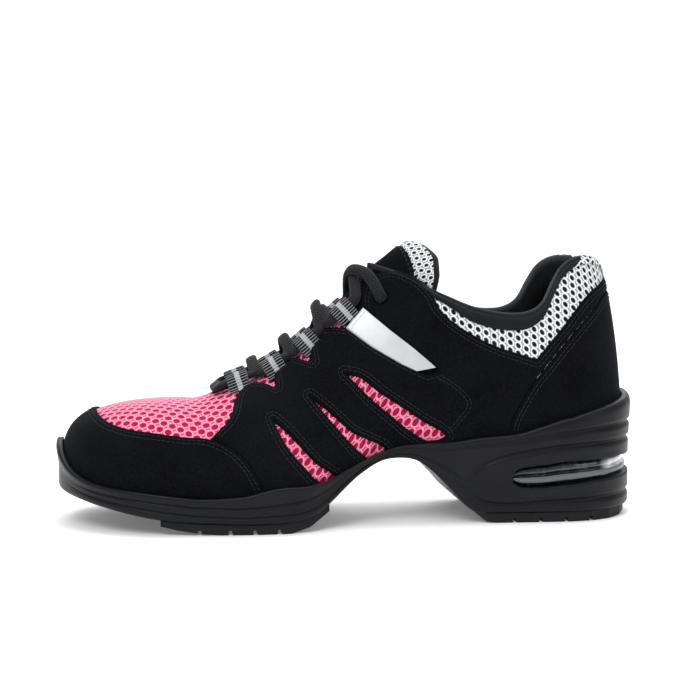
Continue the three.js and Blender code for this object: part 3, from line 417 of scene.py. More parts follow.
def above_form(station, aside, lift):
    """A place lifted off the form, with the directions up the throat, across it and outward."""
    along = unit(on_form(station + 1, aside) - on_form(station - 1, aside))
    aslant = on_form(station, aside + 1) - on_form(station, aside - 1)
    normal = unit(np.cross(along, aslant))
    over = np.cross(normal, along)
    return on_form(station, aside) + normal * np.asarray(lift)[..., None], along, over, normal


def rim_height(path):
    return feather(path) + RIM_HEIGHT * lookup(SOLE_SIDE, "rim", path)


def underside_height(path):
    flat = TREAD + GAP
    arch = (ARCH_HEIGHT - flat) * lookup(SOLE_SIDE, "arch", path)
    return flat + arch + (TOE_SPRING - flat) * lookup(SOLE_SIDE, "toe", path)


def sole_reach(path, side, share):
    reach = footing(path, side)[2]
    lip = reach + LIP * lookup(SOLE_SIDE, "lip", path)
    rim = reach_at_height(path, side, rim_height(path), OVERLAY + 2 * GAP + RIM)
    return mix(lip, rim + RIM_ROUND * lookup(SOLE_SIDE, "round", path), smooth(0.45, 1, share))


# Outlines


def blend(first, second, start, end, at):
    return (first * (end - at) + second * (at - start)) / (end - start)


def curve_through(points, step=1.0):
    """Smooth line through points, as a centripetal curve with a point at each step."""
    p = np.array(points, float)
    if len(p) < 3:
        return p
    padded = np.vstack([2 * p[0] - p[1], p, 2 * p[-1] - p[-2]])
    line = []
    for p0, p1, p2, p3 in zip(padded, padded[1:], padded[2:], padded[3:]):
        gaps = [max(np.linalg.norm(gap), 1e-6) ** 0.5 for gap in (p1 - p0, p2 - p1, p3 - p2)]
        k0, k1, k2, k3 = np.cumsum([0] + gaps)
        count = max(2, int(np.linalg.norm(p2 - p1) / step))
        at = np.linspace(k1, k2, count, endpoint=False)[:, None]
        a1, a2, a3 = blend(p0, p1, k0, k1, at), blend(p1, p2, k1, k2, at), blend(p2, p3, k2, k3, at)
        b1, b2 = blend(a1, a2, k0, k2, at), blend(a2, a3, k1, k3, at)
        line.append(blend(b1, b2, k1, k2, at))
    return np.vstack(line + [p[-1:]])


def panel(points):
    return [(s * LENGTH, z * TOE_TOP) for s, z in points]


def joined(*runs):
    """Closed outline from smooth runs that meet at corners."""
    return np.vstack([curve_through(run) for run in runs])


def signed_distance(outline, s, z):
    """Distance to a closed outline in side view, positive inside, with its direction."""
    p = np.stack([s, z], -1).reshape(-1, 2)
    a = np.asarray(outline, float)
    b = np.roll(a, -1, 0)
    best = np.full(len(p), 1e9)
    away = np.zeros_like(p)
    inside = np.zeros(len(p), bool)
    for (ax, ay), (bx, by) in zip(a, b):
        ex, ey = bx - ax, by - ay
        size = ex * ex + ey * ey
        if size < 1e-12:
            continue
        t = np.clip(((p[:, 0] - ax) * ex + (p[:, 1] - ay) * ey) / size, 0, 1)
        dx, dy = p[:, 0] - (ax + t * ex), p[:, 1] - (ay + t * ey)
        d = np.hypot(dx, dy)
        near = d < best
        best[near] = d[near]
        away[near] = np.stack([dx, dy], -1)[near]
        crosses = ((ay > p[:, 1]) != (by > p[:, 1])) & (
            p[:, 0] < (p[:, 1] - ay) * ex / (ey if abs(ey) > 1e-12 else 1e-12) + ax
        )
        inside ^= crosses
    sign = np.where(inside, 1.0, -1.0)
    direction = away / np.maximum(best, 1e-6)[:, None]
    return (best * sign).reshape(s.shape), direction.reshape(s.shape + (2,))


def on_surface(outline, points, normals):
    """Signed distance to an outline, measured along the surface instead of in side view."""
    flat, direction = signed_distance(outline, points[..., 0] + LENGTH / 2, points[..., 2])
    lean = normals[..., 0] * direction[..., 0] + normals[..., 2] * direction[..., 1]
    return flat / np.sqrt(np.clip(1 - lean * lean, 0.05, 1))


# Meshes


def grid_normals(points, flip):
    a = np.gradient(points, axis=0)
    b = np.gradient(points, axis=1)
    n = np.cross(a, b)
    return unit(n) * (-1 if flip else 1)


class Build:
    """Points, faces and a 2-D weave coordinate gathered for one piece."""

    def __init__(self):
        self.points, self.faces, self.weave, self.count = [], [], [], 0

    def grid(self, points, flip=False, keep=None, weave=None):
        rows, cols = points.shape[:2]
        index = np.arange(rows * cols).reshape(rows, cols) + self.count
        quads = np.stack([index[:-1, :-1], index[1:, :-1], index[1:, 1:], index[:-1, 1:]], -1)
        if keep is not None:
            shown = keep[:-1, :-1] | keep[1:, :-1] | keep[1:, 1:] | keep[:-1, 1:]
            quads = quads[shown]
        quads = quads.reshape(-1, 4)
        if flip:
            quads = quads[:, ::-1]
        self.points.append(points.reshape(-1, 3))
        self.faces.append(quads)
        spread = np.zeros((rows * cols, 3))
        if weave is not None:
            spread[:, : weave.shape[-1]] = weave.reshape(rows * cols, -1)
        self.weave.append(spread)
        self.count += rows * cols

    def make(self, name, material, merge=0.02):
        points = np.vstack(self.points) * MM
        faces = np.vstack(self.faces)
        weave = np.vstack(self.weave)
        used, faces = np.unique(faces, return_inverse=True)
        faces = faces.reshape(-1, 4)
        points, weave = points[used], weave[used]
        mesh = bpy.data.meshes.new(name)
        mesh.from_pydata(points.tolist(), [], faces.tolist())
        layer = mesh.attributes.new("weave", "FLOAT_VECTOR", "POINT")
        layer.data.foreach_set("vector", weave.astype(np.float32).ravel())
        if merge:
            bm = bmesh.new()
            bm.from_mesh(mesh)
            bmesh.ops.remove_doubles(bm, verts=bm.verts, dist=merge * MM)
            bmesh.ops.dissolve_degenerate(bm, edges=bm.edges, dist=merge * MM * 0.1)
            bm.to_mesh(mesh)
            bm.free()
        mesh.validate()
        mesh.shade_smooth()
        mesh.materials.append(material)
        piece = bpy.data.objects.new(name, mesh)
        bpy.context.scene.collection.objects.link(piece)
        return piece


def finish_piece(piece, slot, *nodes):
    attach(piece, "root")
    if nodes:
        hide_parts(*nodes)
    return piece


def give_material(piece, material, number):
    """Adds a material and gives it to the faces whose corners carry its number."""
    mesh = piece.data
    mesh.materials.append(material)
    marks = np.zeros(len(mesh.vertices) * 3, np.float32)
    mesh.attributes["weave"].data.foreach_get("vector", marks)
    marks = marks.reshape(-1, 3)[:, 2].round().astype(int) == number
    for face in mesh.polygons:
        if all(marks[v] for v in face.vertices):
            face.material_index = len(mesh.materials) - 1


# Materials


class Nodes:
    """Short way to write a material's nodes."""

    def __init__(self, name):
        self.material = bpy.data.materials.new(name)
        self.material.use_nodes = True
        self.tree = self.material.node_tree
        self.shader = self.tree.nodes["Principled BSDF"]

    def add(self, kind, settings=None, **inputs):
        node = self.tree.nodes.new(kind)
        for key, value in (settings or {}).items():
            setattr(node, key, value)
        for key, value in inputs.items():
            self.feed(node, key.replace("_", " "), value)
        return node

    def feed(self, node, key, value):
        socket = node.inputs[int(key[1:])] if key[0] == "i" and key[1:].isdigit() else node.inputs[key]
        if isinstance(value, bpy.types.NodeSocket):
            self.tree.links.new(value, socket)
        else:
            socket.default_value = value

    def math(self, operation, a, b=0.0, c=0.0):
        return self.add("ShaderNodeMath", {"operation": operation}, i0=a, i1=b, i2=c).outputs[0]

    def times(self, a, b):
        return self.math("MULTIPLY", a, b)

    def plus(self, a, b):
        return self.math("ADD", a, b)

    def minus(self, a, b):
        return self.math("SUBTRACT", a, b)

    def scaled(self, a, share, shift):
        return self.math("MULTIPLY_ADD", a, share, shift)

    def sine(self, a):
        return self.math("SINE", a)

    def clamp(self, value):
        return self.add("ShaderNodeClamp", None, Value=value).outputs[0]

    def noise(self, scale, detail=3.0, roughness=0.55, vector=None):
        node = self.add("ShaderNodeTexNoise", None, Scale=scale, Detail=detail, Roughness=roughness)
        self.tree.links.new(vector or self.place(), node.inputs["Vector"])
        return node.outputs["Fac"]

    def place(self):
        return self.add("ShaderNodeTexCoord").outputs["Object"]

    def ramp(self, value, stops):
        node = self.add("ShaderNodeValToRGB", None, Fac=value)
        ramp = node.color_ramp
        while len(ramp.elements) < len(stops):
            ramp.elements.new(0.5)
        for element, (position, colour) in zip(ramp.elements, stops):
            element.position = position
            element.color = (*colour, 1)
        return node.outputs["Color"]

    def mix(self, share, a, b):
        node = self.add("ShaderNodeMix", {"data_type": "RGBA"})
        self.feed(node, "i0", share)
        self.feed(node, "i6", a if isinstance(a, bpy.types.NodeSocket) else (*a, 1))
        self.feed(node, "i7", b if isinstance(b, bpy.types.NodeSocket) else (*b, 1))
        return node.outputs[2]

    def bump(self, height, strength, distance, normal=None):
        node = self.add("ShaderNodeBump", None, Strength=strength, Distance=distance, Height=height)
        if normal is not None:
            self.tree.links.new(normal, node.inputs["Normal"])
        return node.outputs["Normal"]

    def weave(self):
        node = self.add("ShaderNodeAttribute", {"attribute_name": "weave"})
        split = self.add("ShaderNodeSeparateXYZ", None, Vector=node.outputs["Vector"])
        self.mask = split.outputs[2]
        return split.outputs[0], split.outputs[1]

    def set(self, **inputs):
        for key, value in inputs.items():
            self.feed(self.shader, key.replace("_", " "), value)
        return self.material


class Lattice:
    """Staggered rows of holes in a knitted mesh, the same in the shader and in the relief."""

    def __init__(self, along, across, hole, squash=1.0, shear=0.0, turn=0.0):
        self.size = (along, across)
        self.hole, self.squash, self.shear = hole, squash, shear
        self.cos, self.sin = math.cos(turn), math.sin(turn)

    def distances(self, weave):
        """Distance from the nearest hole's middle, and how far off the next row's hole is."""
        u = weave[..., 0] * self.cos - weave[..., 1] * self.sin
        v = weave[..., 0] * self.sin + weave[..., 1] * self.cos
        rows = []
        for shift in (0.0, 0.5):
            a = ((u / self.size[0] + shift) % 1 - 0.5) * self.size[0]
            b = ((v / self.size[1] + shift) % 1 - 0.5) * self.size[1]
            rows.append(np.hypot(a + self.shear * b, b * self.squash))
        return np.minimum(*rows), np.abs(rows[0] - rows[1])

    def relief(self, weave, depth, room):
        """Height of the yarn: sunk at the holes, raised round them, creased between them."""
        near, between = self.distances(weave)
        sunk = 1 - smooth(self.hole - 0.35, self.hole + 0.3, near)
        ring = np.clip(1 - np.abs(near - self.hole - 0.4) / 0.5, 0, 1)
        crease = np.clip(1 - between / 0.3, 0, 1)
        return (0.16 * ring - 0.14 * crease - depth * sunk) * smooth(0.2, 1.0, room)

    def nodes(self, m):
        u, v = m.weave()
        turned_u = m.plus(m.times(u, self.cos), m.times(v, -self.sin))
        turned_v = m.plus(m.times(u, self.sin), m.times(v, self.cos))
        rows = []
        for shift in (0.0, 0.5):
            a, b = [
                m.times(m.minus(m.math("FRACT", m.scaled(x, 1 / size, shift)), 0.5), size)
                for x, size in zip((turned_u, turned_v), self.size)
            ]
            a = m.scaled(b, self.shear, a)
            b = m.times(b, self.squash)
            rows.append(m.math("SQRT", m.plus(m.times(a, a), m.times(b, b))))
        between = m.math("ABSOLUTE", m.minus(*rows))
        return m.math("MINIMUM", *rows), between


PINK_KNIT = Lattice(5.85, 5.5, 1.5, turn=-0.27)
GREY_KNIT = Lattice(7.2, 3.3, 0.95, squash=0.8, shear=0.35)
TONGUE_KNIT = Lattice(6.0, 3.0, 1.0, squash=1.5, turn=-0.3)


def mesh_material(name, knit, light, crease, deep, roughness=0.65):
    """Knitted mesh: pale rings of yarn round deep holes, with a painted highlight on each ring, painted
    shade in the creases between the rings, and the holes' darker colour deepened with painted shade.
    """
    m = Nodes(name)
    near, between = knit.nodes(m)
    # Holes: their own darker colour deepened with painted shade
    hole = m.clamp(m.times(m.minus(knit.hole + 0.14, near), 1 / 0.28))
    # Painted highlight on the ring of yarn round each hole
    ring = m.clamp(m.minus(1.0, m.times(m.math("ABSOLUTE", m.minus(near, knit.hole + 0.4)), 1 / 0.6)))
    # Painted shade in the creases between the rings
    line = m.clamp(m.minus(1.0, m.times(between, 1 / 0.4)))
    fibre = m.noise(900.0, 3.0)
    # Yarn tone: the fibre's own variation, lifted by the painted highlight and lowered by the painted
    # crease shade
    tone = m.plus(m.times(ring, 0.75), m.times(fibre, 0.5))
    tone = m.clamp(m.minus(tone, m.times(line, 0.65)))
    # Painted shade in the holes, varying at random in strength
    depth = m.noise(500.0, 2.0)
    inner = m.mix(depth, tuple(0.6 * c for c in deep), tuple(1.3 * c for c in deep))
    base = m.mix(hole, m.mix(tone, crease, light), inner)
    height = m.minus(m.times(tone, 0.5), hole)
    m.set(Base_Color=base, Roughness=roughness, Normal=m.bump(height, 0.7, 0.0004))
    return m.set(Sheen_Weight=0.04, Specular_IOR_Level=0.12)


def suede_material(name, dark, light):
    """Brushed nap: a fine grain with a faint broad cloudiness."""
    m = Nodes(name)
    fine = m.noise(1300.0, 5.0, 0.75)
    nap = m.noise(420.0, 3.0)
    broad = m.noise(45.0, 2.0)
    tone = m.plus(m.times(fine, 0.8), m.times(broad, 0.25))
    base = m.ramp(tone, [(0.42, dark), (0.66, light)])
    height = m.plus(fine, m.times(nap, 0.8))
    m.set(Base_Color=base, Roughness=0.95, Normal=m.bump(height, 0.45, 0.00022))
    m.set(Sheen_Weight=0.025, Sheen_Roughness=0.5, Sheen_Tint=(0.5, 0.6, 0.8, 1))
    return m.set(Specular_IOR_Level=0.06)


def knit_material(name, dark, light, pitch=0.9):
    """Fine knitted lining: short ribs in two directions over its weave coordinate."""
    m = Nodes(name)
    u, v = m.weave()
    a = m.sine(m.times(u, 2 * math.pi / pitch))
    b = m.sine(m.times(v, 2 * math.pi / pitch))
    knots = m.scaled(m.times(a, b), 0.5, 0.5)
    tone = m.noise(120.0, 3.0)
    share = m.scaled(tone, 0.5, m.times(knots, 0.5))
    m.set(Base_Color=m.ramp(share, [(0.25, dark), (0.85, light)]), Roughness=0.9)
    m.feed(m.shader, "Normal", m.bump(m.plus(knots, m.noise(900.0)), 0.5, 0.0003))
    return m.set(Sheen_Weight=0.1, Specular_IOR_Level=0.12)


def rubber_material(name, dark, light, roughness=0.42):
    """Satin moulded rubber, with fine raised dots where the weave's mask is set."""
    m = Nodes(name)
    grain = m.noise(1500.0, 3.0)
    broad = m.noise(30.0, 2.0)
    u, v = m.weave()
    dots = m.times(m.sine(m.times(u, 6.3)), m.sine(m.times(v, 6.3)))
    raised = m.times(m.math("MAXIMUM", dots, 0.0), m.mask)
    base = m.mix(raised, m.ramp(broad, [(0.3, dark), (0.75, light)]), tuple(3.5 * c for c in light))
    rough = m.scaled(grain, 0.16, roughness - 0.08)
    height = m.plus(m.times(grain, 0.2), m.times(raised, 3.0))
    m.set(Base_Color=base, Roughness=rough, Normal=m.bump(height, 0.7, 0.0001))
    return m.set(Specular_IOR_Level=0.19)


def webbing_material():
    """Ribs across the strap's length with thin pale threads and one grey stripe."""
    m = Nodes("webbing_ribs")
    u, v = m.weave()
    ribs = m.sine(m.times(v, 2 * math.pi / 1.25))
    thread = m.math("GREATER_THAN", ribs, 0.72)
    stripe = m.math("LESS_THAN", m.math("ABSOLUTE", m.minus(u, 0.3)), 1.15)
    fine = m.noise(1400.0, 3.0)
    black = m.mix(fine, (0.004, 0.0045, 0.006), (0.014, 0.015, 0.018))
    base = m.mix(m.times(thread, 0.75), black, (0.36, 0.37, 0.4))
    grey = m.mix(m.scaled(ribs, 0.3, 0.4), (0.3, 0.31, 0.33), (0.52, 0.54, 0.57))
    base = m.mix(stripe, base, grey)
    height = m.plus(ribs, m.times(fine, 0.6))
    m.set(Base_Color=base, Roughness=0.8, Normal=m.bump(height, 0.6, 0.0003))
    return m.set(Specular_IOR_Level=0.12)


def lace_material():
    """Braided cord: crossed diagonal strands along its weave coordinate."""
    m = Nodes("lace_braid")
    u, v = m.weave()
    a = m.sine(m.times(m.plus(u, v), 2 * math.pi / 1.5))
    b = m.sine(m.times(m.minus(u, v), 2 * math.pi / 1.5))
    braid = m.math("MAXIMUM", a, b)
    tone = m.noise(300.0, 3.0)
    share = m.scaled(braid, 0.3, m.times(tone, 0.6))
    base = m.ramp(share, [(0.2, (0.002, 0.0024, 0.0034)), (0.8, (0.0125, 0.0135, 0.0165))])
    m.set(Base_Color=base, Roughness=0.7, Normal=m.bump(braid, 0.55, 0.00025))
    return m.set(Sheen_Weight=0.06, Specular_IOR_Level=0.15)


def patch_material():
    m = Nodes("patch_silver")
    fine = m.noise(1800.0, 4.0, 0.7)
    broad = m.noise(55.0, 3.0)
    base = m.ramp(broad, [(0.3, (0.46, 0.49, 0.51)), (0.75, (0.62, 0.64, 0.66))])
    rough = m.scaled(fine, 0.2, 0.3)
    m.set(Base_Color=base, Roughness=rough, Normal=m.bump(fine, 0.2, 0.0001))
    return m.set(Metallic=0.2, Specular_IOR_Level=0.3)


def cushion_material():
    """Clear plastic: dark with painted shade of the slot seen through it at the sides, pale with painted
    light where light passes through at the back, and painted streaks of light over both.
    """
    m = Nodes("cushion_clear")
    x = m.add("ShaderNodeSeparateXYZ", None, Vector=m.place()).outputs[0]
    # Painted streaks of light, which also vary the roughness
    painted_light_streak = m.noise(240.0, 3.0)
    # Share of painted light passing through, towards the heel's back
    far = m.clamp(m.times(m.minus(x, 0.1085), 200.0))
    # Painted light passing through the clear plastic at the back
    light = m.ramp(painted_light_streak, [(0.35, (0.42, 0.44, 0.46)), (0.65, (0.88, 0.9, 0.93))])
    # Painted shade of the dark slot seen through the clear plastic, with faint painted highlights
    dark = m.ramp(painted_light_streak, [(0.45, (0.004, 0.0045, 0.006)), (0.72, (0.05, 0.054, 0.06))])
    m.set(Base_Color=m.mix(far, dark, light), Roughness=m.scaled(painted_light_streak, 0.1, 0.06))
    return m.set(Specular_IOR_Level=0.45, Coat_Weight=0.6, Coat_Roughness=0.04)


def flange_material():
    m = Nodes("cushion_flange")
    fine = m.noise(900.0, 3.0)
    base = m.ramp(fine, [(0.3, (0.085, 0.092, 0.1)), (0.8, (0.1, 0.108, 0.12))])
    m.set(Base_Color=base, Roughness=m.scaled(fine, 0.15, 0.25), Normal=m.bump(fine, 0.15, 0.0001))
    return m.material


def thread_material():
    m = Nodes("thread")
    fine = m.noise(2400.0, 2.0)
    base = m.ramp(fine, [(0.3, (0.014, 0.015, 0.018)), (0.8, (0.045, 0.048, 0.055))])
    m.set(Base_Color=base, Roughness=0.55, Normal=m.bump(fine, 0.3, 0.0001))
    return m.set(Specular_IOR_Level=0.2)


# Knit colours: pale yarn under its painted highlight, painted shade for the creases, and the holes' darker
# colour with painted shade
PINK = mesh_material("mesh_pink", PINK_KNIT, (0.98, 0.38, 0.54), (0.56, 0.026, 0.1), (0.38, 0.002, 0.046))
GREY_YARN_AND_SHADE = ((0.9, 0.91, 0.92), (0.2, 0.21, 0.225), (0.007, 0.0075, 0.009))
GREY = mesh_material("mesh_grey", GREY_KNIT, *GREY_YARN_AND_SHADE)
TONGUE_GREY = mesh_material("tongue_grey", TONGUE_KNIT, *GREY_YARN_AND_SHADE)
SUEDE = suede_material("suede_black", (0.0012, 0.0013, 0.0022), (0.0055, 0.006, 0.0085))
LINING = knit_material("lining_black", (0.003, 0.0035, 0.005), (0.0145, 0.0165, 0.0205))
FOOTBED = knit_material("footbed_cloth", (0.008, 0.0085, 0.011), (0.035, 0.037, 0.043), 1.4)
RUBBER = rubber_material("sole_rubber", (0.0018, 0.0021, 0.0031), (0.0045, 0.005, 0.0068))
TREAD_RUBBER = rubber_material("tread_rubber", (0.006, 0.0065, 0.008), (0.012, 0.0125, 0.0145), 0.62)
WEBBING = webbing_material()
BRAID = lace_material()
SILVER = patch_material()
CLEAR = cushion_material()
FLANGE = flange_material()
THREAD = thread_material()


# Coordinates for the mesh fabrics


def stretches(ends, counts):
    """Evenly spaced values through one stretch after another, with no value twice."""
    parts = [np.linspace(a, b, n, endpoint=False) for a, b, n in zip(ends, ends[1:], counts[:-1])]
    return np.concatenate(parts + [np.linspace(ends[-2], ends[-1], counts[-1])])


def length_along(points):
    """Distance from a line's first point to each of its points."""
    return np.concatenate([[0], np.cumsum(np.linalg.norm(np.diff(points, axis=0), axis=-1))])


def girth_grid(path, side, climbs):
    """Distance in millimetres along each profile, from the ridge down."""
    points = surface(path[:, None], side[:, None], climbs[None, :])
    steps = np.linalg.norm(np.diff(points, axis=1), axis=-1)
    return np.concatenate([np.cumsum(steps[:, ::-1], 1)[:, ::-1], np.zeros((len(path), 1))], 1)


def top_weave(path, side, climbs):
    """Fabric coordinate over the toe and the throat, measured from the ridge."""
    girth = girth_grid(path, side, climbs)
    angle = np.clip(path, 0, 1)[:, None] * math.pi / 2
    run = station_of(path)[:, None] - np.where(path[:, None] < 1, girth * np.cos(angle), 0)
    return np.stack([run, side[:, None] * girth * np.where(path[:, None] < 1, np.sin(angle), 1)], -1)


def side_weave(path, side, climbs):
    """Fabric coordinate round the back, measured along the side and up from the feather edge."""
    middle = surface(path, side, np.full(path.shape, 0.45))
    run = length_along(middle)
    girth = girth_grid(path, side, climbs)
    return np.stack([np.repeat(run[:, None], len(climbs), 1), girth[:, :1] - girth], -1)


# Outlines of the panels in millimetres
SEAM = GAP * 1.2
TOE_CAP = joined(
    panel(TOE_CAP_TOP) + panel(TOE_CAP_REAR),
    [(-LENGTH * 0.02, TOE_TOP * 0.1)],
)
FRONT_EDGES = (
    [curve_through(panel(VAMP_EDGE))]
    + [curve_through(panel(scallop)) for scallop in SCALLOPS]
    + [curve_through(panel(run)) for run in (QUARTER_TOP, COLLAR_SEAM[:7], COLLAR_SEAM[6:] + HEEL_SEAM)]
)
QUARTER = np.vstack(
    [curve_through([(s + SEAM, z) for s, z in panel(TOE_CAP_REAR)][::-1])]
    + FRONT_EDGES
    + [curve_through([(s - SEAM, z + SEAM) for s, z in panel(COUNTER_LINE)])]
    + [np.array([(0.758 * LENGTH - SEAM, TOE_TOP * 0.1)])]
)
# The same outline carried on under the toe cap and the counter, where it isn't sewn
QUARTER_SEAMS = np.vstack(
    [np.array([(LENGTH * 0.2, TOE_TOP * 0.05), (LENGTH * 0.23, TOE_TOP * 0.735)])]
    + FRONT_EDGES
    + [np.array([(LENGTH * 1.1, TOE_TOP * 0.05)])]
)
COUNTER = np.vstack(
    [curve_through(panel(COUNTER_LINE)), np.array(panel([(0.758, 0.1), (1.05, 0.1)]))]
)
SLIT_OUTLINES = [curve_through(panel(slit) + panel(slit)[:1]) for slit in SLITS]
FLASH_OUTLINE = np.array(panel(FLASH))
FLASH_MIDDLE = [(0.505, 1.69), (0.56, 1.5), (0.6, 1.37), (0.634, 1.27)]
LAYER = np.vstack(
    [curve_through(panel(LAYER_EDGE)), np.array(panel([(0.0, 0.1), (0.0, 1.9)] + FLASH_MIDDLE))]
)
FLASH_REST = np.array(panel([FLASH[0], FLASH[1], (0.56, 1.0), (0.8, 1.0), (0.8, 2.0), (0.56, 2.0)]))


def edge_height(distance, full, sunk=-0.35, run=0.85):
    """Panel's height over the form, rounding down through the fabric at its edge."""
    t = np.clip((distance + 0.35) / run, 0, 1)
    return sunk + (full - sunk) * np.sqrt(np.clip(1 - (1 - t) ** 2, 0, 1))


def stitch_rows(build, points, normals, field, levels, room=None):
    """Stitches along lines of equal distance from an edge, where the panel leaves room for them."""
    room = field if room is None else room
    for level in levels:
        for line in contours(field, level):
            at = sample(points, line)
            out = unit(sample(normals, line))
            run = length_along(at)
            if run[-1] < 2 * STITCH_PITCH:
                continue
            count = int(run[-1] / STITCH_PITCH)
            for k in range(count):
                ends = (k + 0.5) * run[-1] / count + np.array([-0.5, 0.5]) * STITCH_LENGTH
                p = np.stack([np.interp(ends, run, at[:, i]) for i in range(3)], -1)
                n = unit(np.array([np.interp(ends.mean(), run, out[:, i]) for i in range(3)]))
                spot = np.array([[np.interp(ends.mean(), run, line[:, i]) for i in range(2)]])
                if sample(room[..., None], spot)[0, 0] > STITCH_ROOM:
                    capsule(build, p[0], p[1], n)


def capsule(build, start, end, normal):
    """One stitch: a low rounded bar whose ends dip into the panel."""
    along = unit(end - start)
    across = np.cross(normal, along)
    shares = np.array([0, 0.12, 0.35, 0.65, 0.88, 1])
    swell = np.array([0.35, 0.8, 1, 1, 0.8, 0.35])
    lift = np.array([-0.28, 0.02, 0.14, 0.14, 0.02, -0.28])
    angles = np.arange(5) * math.pi / 2.5
    size = swell[:, None] * STITCH_THICKNESS
    high = lift[:, None] + np.sin(angles) * size * 0.5
    wide = np.cos(angles) * size * 0.62
    middle = start + (end - start) * shares[:, None]
    rings = middle[:, None] + normal * high[..., None] + across * wide[..., None]
    rings = np.concatenate([rings, rings[:, :1]], 1)
    build.grid(rings)
    for ring, turned in ((rings[0], False), (rings[-1], True)):
        middle = np.repeat(ring[:-1].mean(0)[None], ring.shape[0], 0)
        build.grid(np.stack([middle, ring]), flip=not turned)


def sample(grid, line):
    i = np.clip(line[:, 0], 0, grid.shape[0] - 1.001)
    j = np.clip(line[:, 1], 0, grid.shape[1] - 1.001)
    a, b = i.astype(int), j.astype(int)
    f, g = (i - a)[:, None], (j - b)[:, None]
    top = grid[a, b] * (1 - g) + grid[a, b + 1] * g
    bottom = grid[a + 1, b] * (1 - g) + grid[a + 1, b + 1] * g
    return top * (1 - f) + bottom * f


def contours(field, level):
    """Lines of equal value through a grid, as runs of fractional row and column."""
    value = field - level
    value = np.where(value == 0, 1e-9, value)
    above = value > 0
    crossing = {}
    links = {}
    rows, cols = value.shape
    corner = above[:-1, :-1]
    changes = (corner != above[1:, :-1]) | (corner != above[:-1, 1:]) | (corner != above[1:, 1:])
    for i, j in zip(*np.nonzero(changes)):
        edges = []
        for key, (a, b), (c, d) in (
            ((0, i, j), (i, j), (i + 1, j)), ((1, i + 1, j), (i + 1, j), (i + 1, j + 1)),
            ((0, i, j + 1), (i, j + 1), (i + 1, j + 1)), ((1, i, j), (i, j), (i, j + 1)),
        ):
            if above[a, b] != above[c, d]:
                t = value[a, b] / (value[a, b] - value[c, d])
                crossing[key] = (a + (c - a) * t, b + (d - b) * t)
                edges.append(key)
        for pair in (edges[:2], edges[2:4]):
            if len(pair) == 2:
                links.setdefault(pair[0], []).append(pair[1])
                links.setdefault(pair[1], []).append(pair[0])
    lines = []
    left = set(links)
    for start in sorted(left, key=lambda key: (len(links[key]), key)):
        if start not in left:
            continue
        run = [start]
        left.discard(start)
        here = start
        while True:
            following = [key for key in links[here] if key in left]
            if not following:
                break
            here = following[0]
            left.discard(here)
            run.append(here)
        if len(run) > 1 and len(links[start]) == 2 and start in links[run[-1]]:
            run.append(start)
        lines.append(np.array([crossing[key] for key in run]))
    return lines


# Mesh fabric over the toe, the throat's front and under the slits


def make_vamp():
    build = Build()
    climbs = np.linspace(0.12, 1, 170)
    for side, _ in SIDES:
        path = stretches((0, 1, 1.5), (150, 190))
        sided = np.full(path.shape, side)
        weave = top_weave(path, sided, climbs)
        plain = surface(path[:, None], side, climbs[None, :])
        normals = grid_normals(plain, side < 0)
        cap = on_surface(TOE_CAP, plain, normals)
        quarter = on_surface(QUARTER, plain, normals)
        height = PINK_KNIT.relief(weave, 0.55, -np.maximum(cap, quarter))
        points = surface(path[:, None], side, climbs[None, :], height)
        station = plain[..., 0] + LENGTH / 2
        keep = (cap < 1.5) & (quarter < 1.5)
        keep &= ~in_throat(station, points[..., 1])
        keep &= path[:, None] < 1.42
        build.grid(points, flip=side < 0, keep=keep, weave=weave)
    return finish_piece(build.make("vamp_mesh", PINK), "mesh", "upper")


def axis_at(station):
    """Place of the centre line across the shoe."""
    path = path_of(station)
    return local_width(path) * lookup(SECTIONS, "axis", path)


def in_throat(station, aside):
    """Whether a place lies in the opening that the tongue fills."""
    away = np.abs(aside - axis_at(station))
    return (station > THROAT_START * LENGTH) & (away < throat_half(station) - 0.2)


def make_side_mesh(side, label):
    """Mesh fabric behind the three slits."""
    build = Build()
    path = np.linspace(path_of(0.34 * LENGTH), path_of(0.67 * LENGTH), 215)
    climbs = np.linspace(0.0, 0.62, 130)
    sided = np.full(path.shape, side)
    weave = top_weave(path, sided, np.concatenate([climbs, [1.0]]))[:, :-1]
    plain = surface(path[:, None], side, climbs[None, :])
    normals = grid_normals(plain, side < 0)
    within = np.max([on_surface(outline, plain, normals) for outline in SLIT_OUTLINES], axis=0)
    height = 0.75 * smooth(-0.5, 3, within) + PINK_KNIT.relief(weave, 0.5, within)
    points = surface(path[:, None], side, climbs[None, :], height)
    keep = within > -1.2
    build.grid(points, flip=side < 0, keep=keep, weave=weave)
    return finish_piece(build.make(f"slit_mesh_{label}", PINK), "mesh")


def make_collar_mesh():
    """Pale mesh between the suede and the collar's black edge, round the back."""
    build = Build()
    for side, _ in SIDES:
        path = stretches((path_of(0.6 * LENGTH), 2, 3), (170, 90))
        climbs = np.linspace(0.2, 0.72, 170)
        sided = np.full(path.shape, side)
        weave = side_weave(path, sided, np.concatenate([[0.0], climbs]))[:, 1:]
        plain = surface(path[:, None], side, climbs[None, :])
        normals = grid_normals(plain, side < 0)
        station = plain[..., 0] + LENGTH / 2
        quarter = on_surface(QUARTER, plain, normals)
        counter = on_surface(COUNTER, plain, normals)
        below = collar_height(station) - plain[..., 2]
        height = 0.5 + GREY_KNIT.relief(weave, 0.5, -np.maximum(quarter, counter))
        points = surface(path[:, None], side, climbs[None, :], height)
        keep = (quarter < 1.5) & (counter < 1.5) & (below > -0.5) & (plain[..., 2] > TOE_TOP * 1.2)
        keep &= station > 0.62 * LENGTH
        band = lookup(COLLAR_BAND, "width", np.minimum(station / LENGTH, 0.93))
        keep &= (below > band - 1.2) | (station > 0.915 * LENGTH)
        build.grid(points, flip=side < 0, keep=keep, weave=weave)
    return finish_piece(build.make("collar_mesh", GREY), "mesh")


# Suede panels


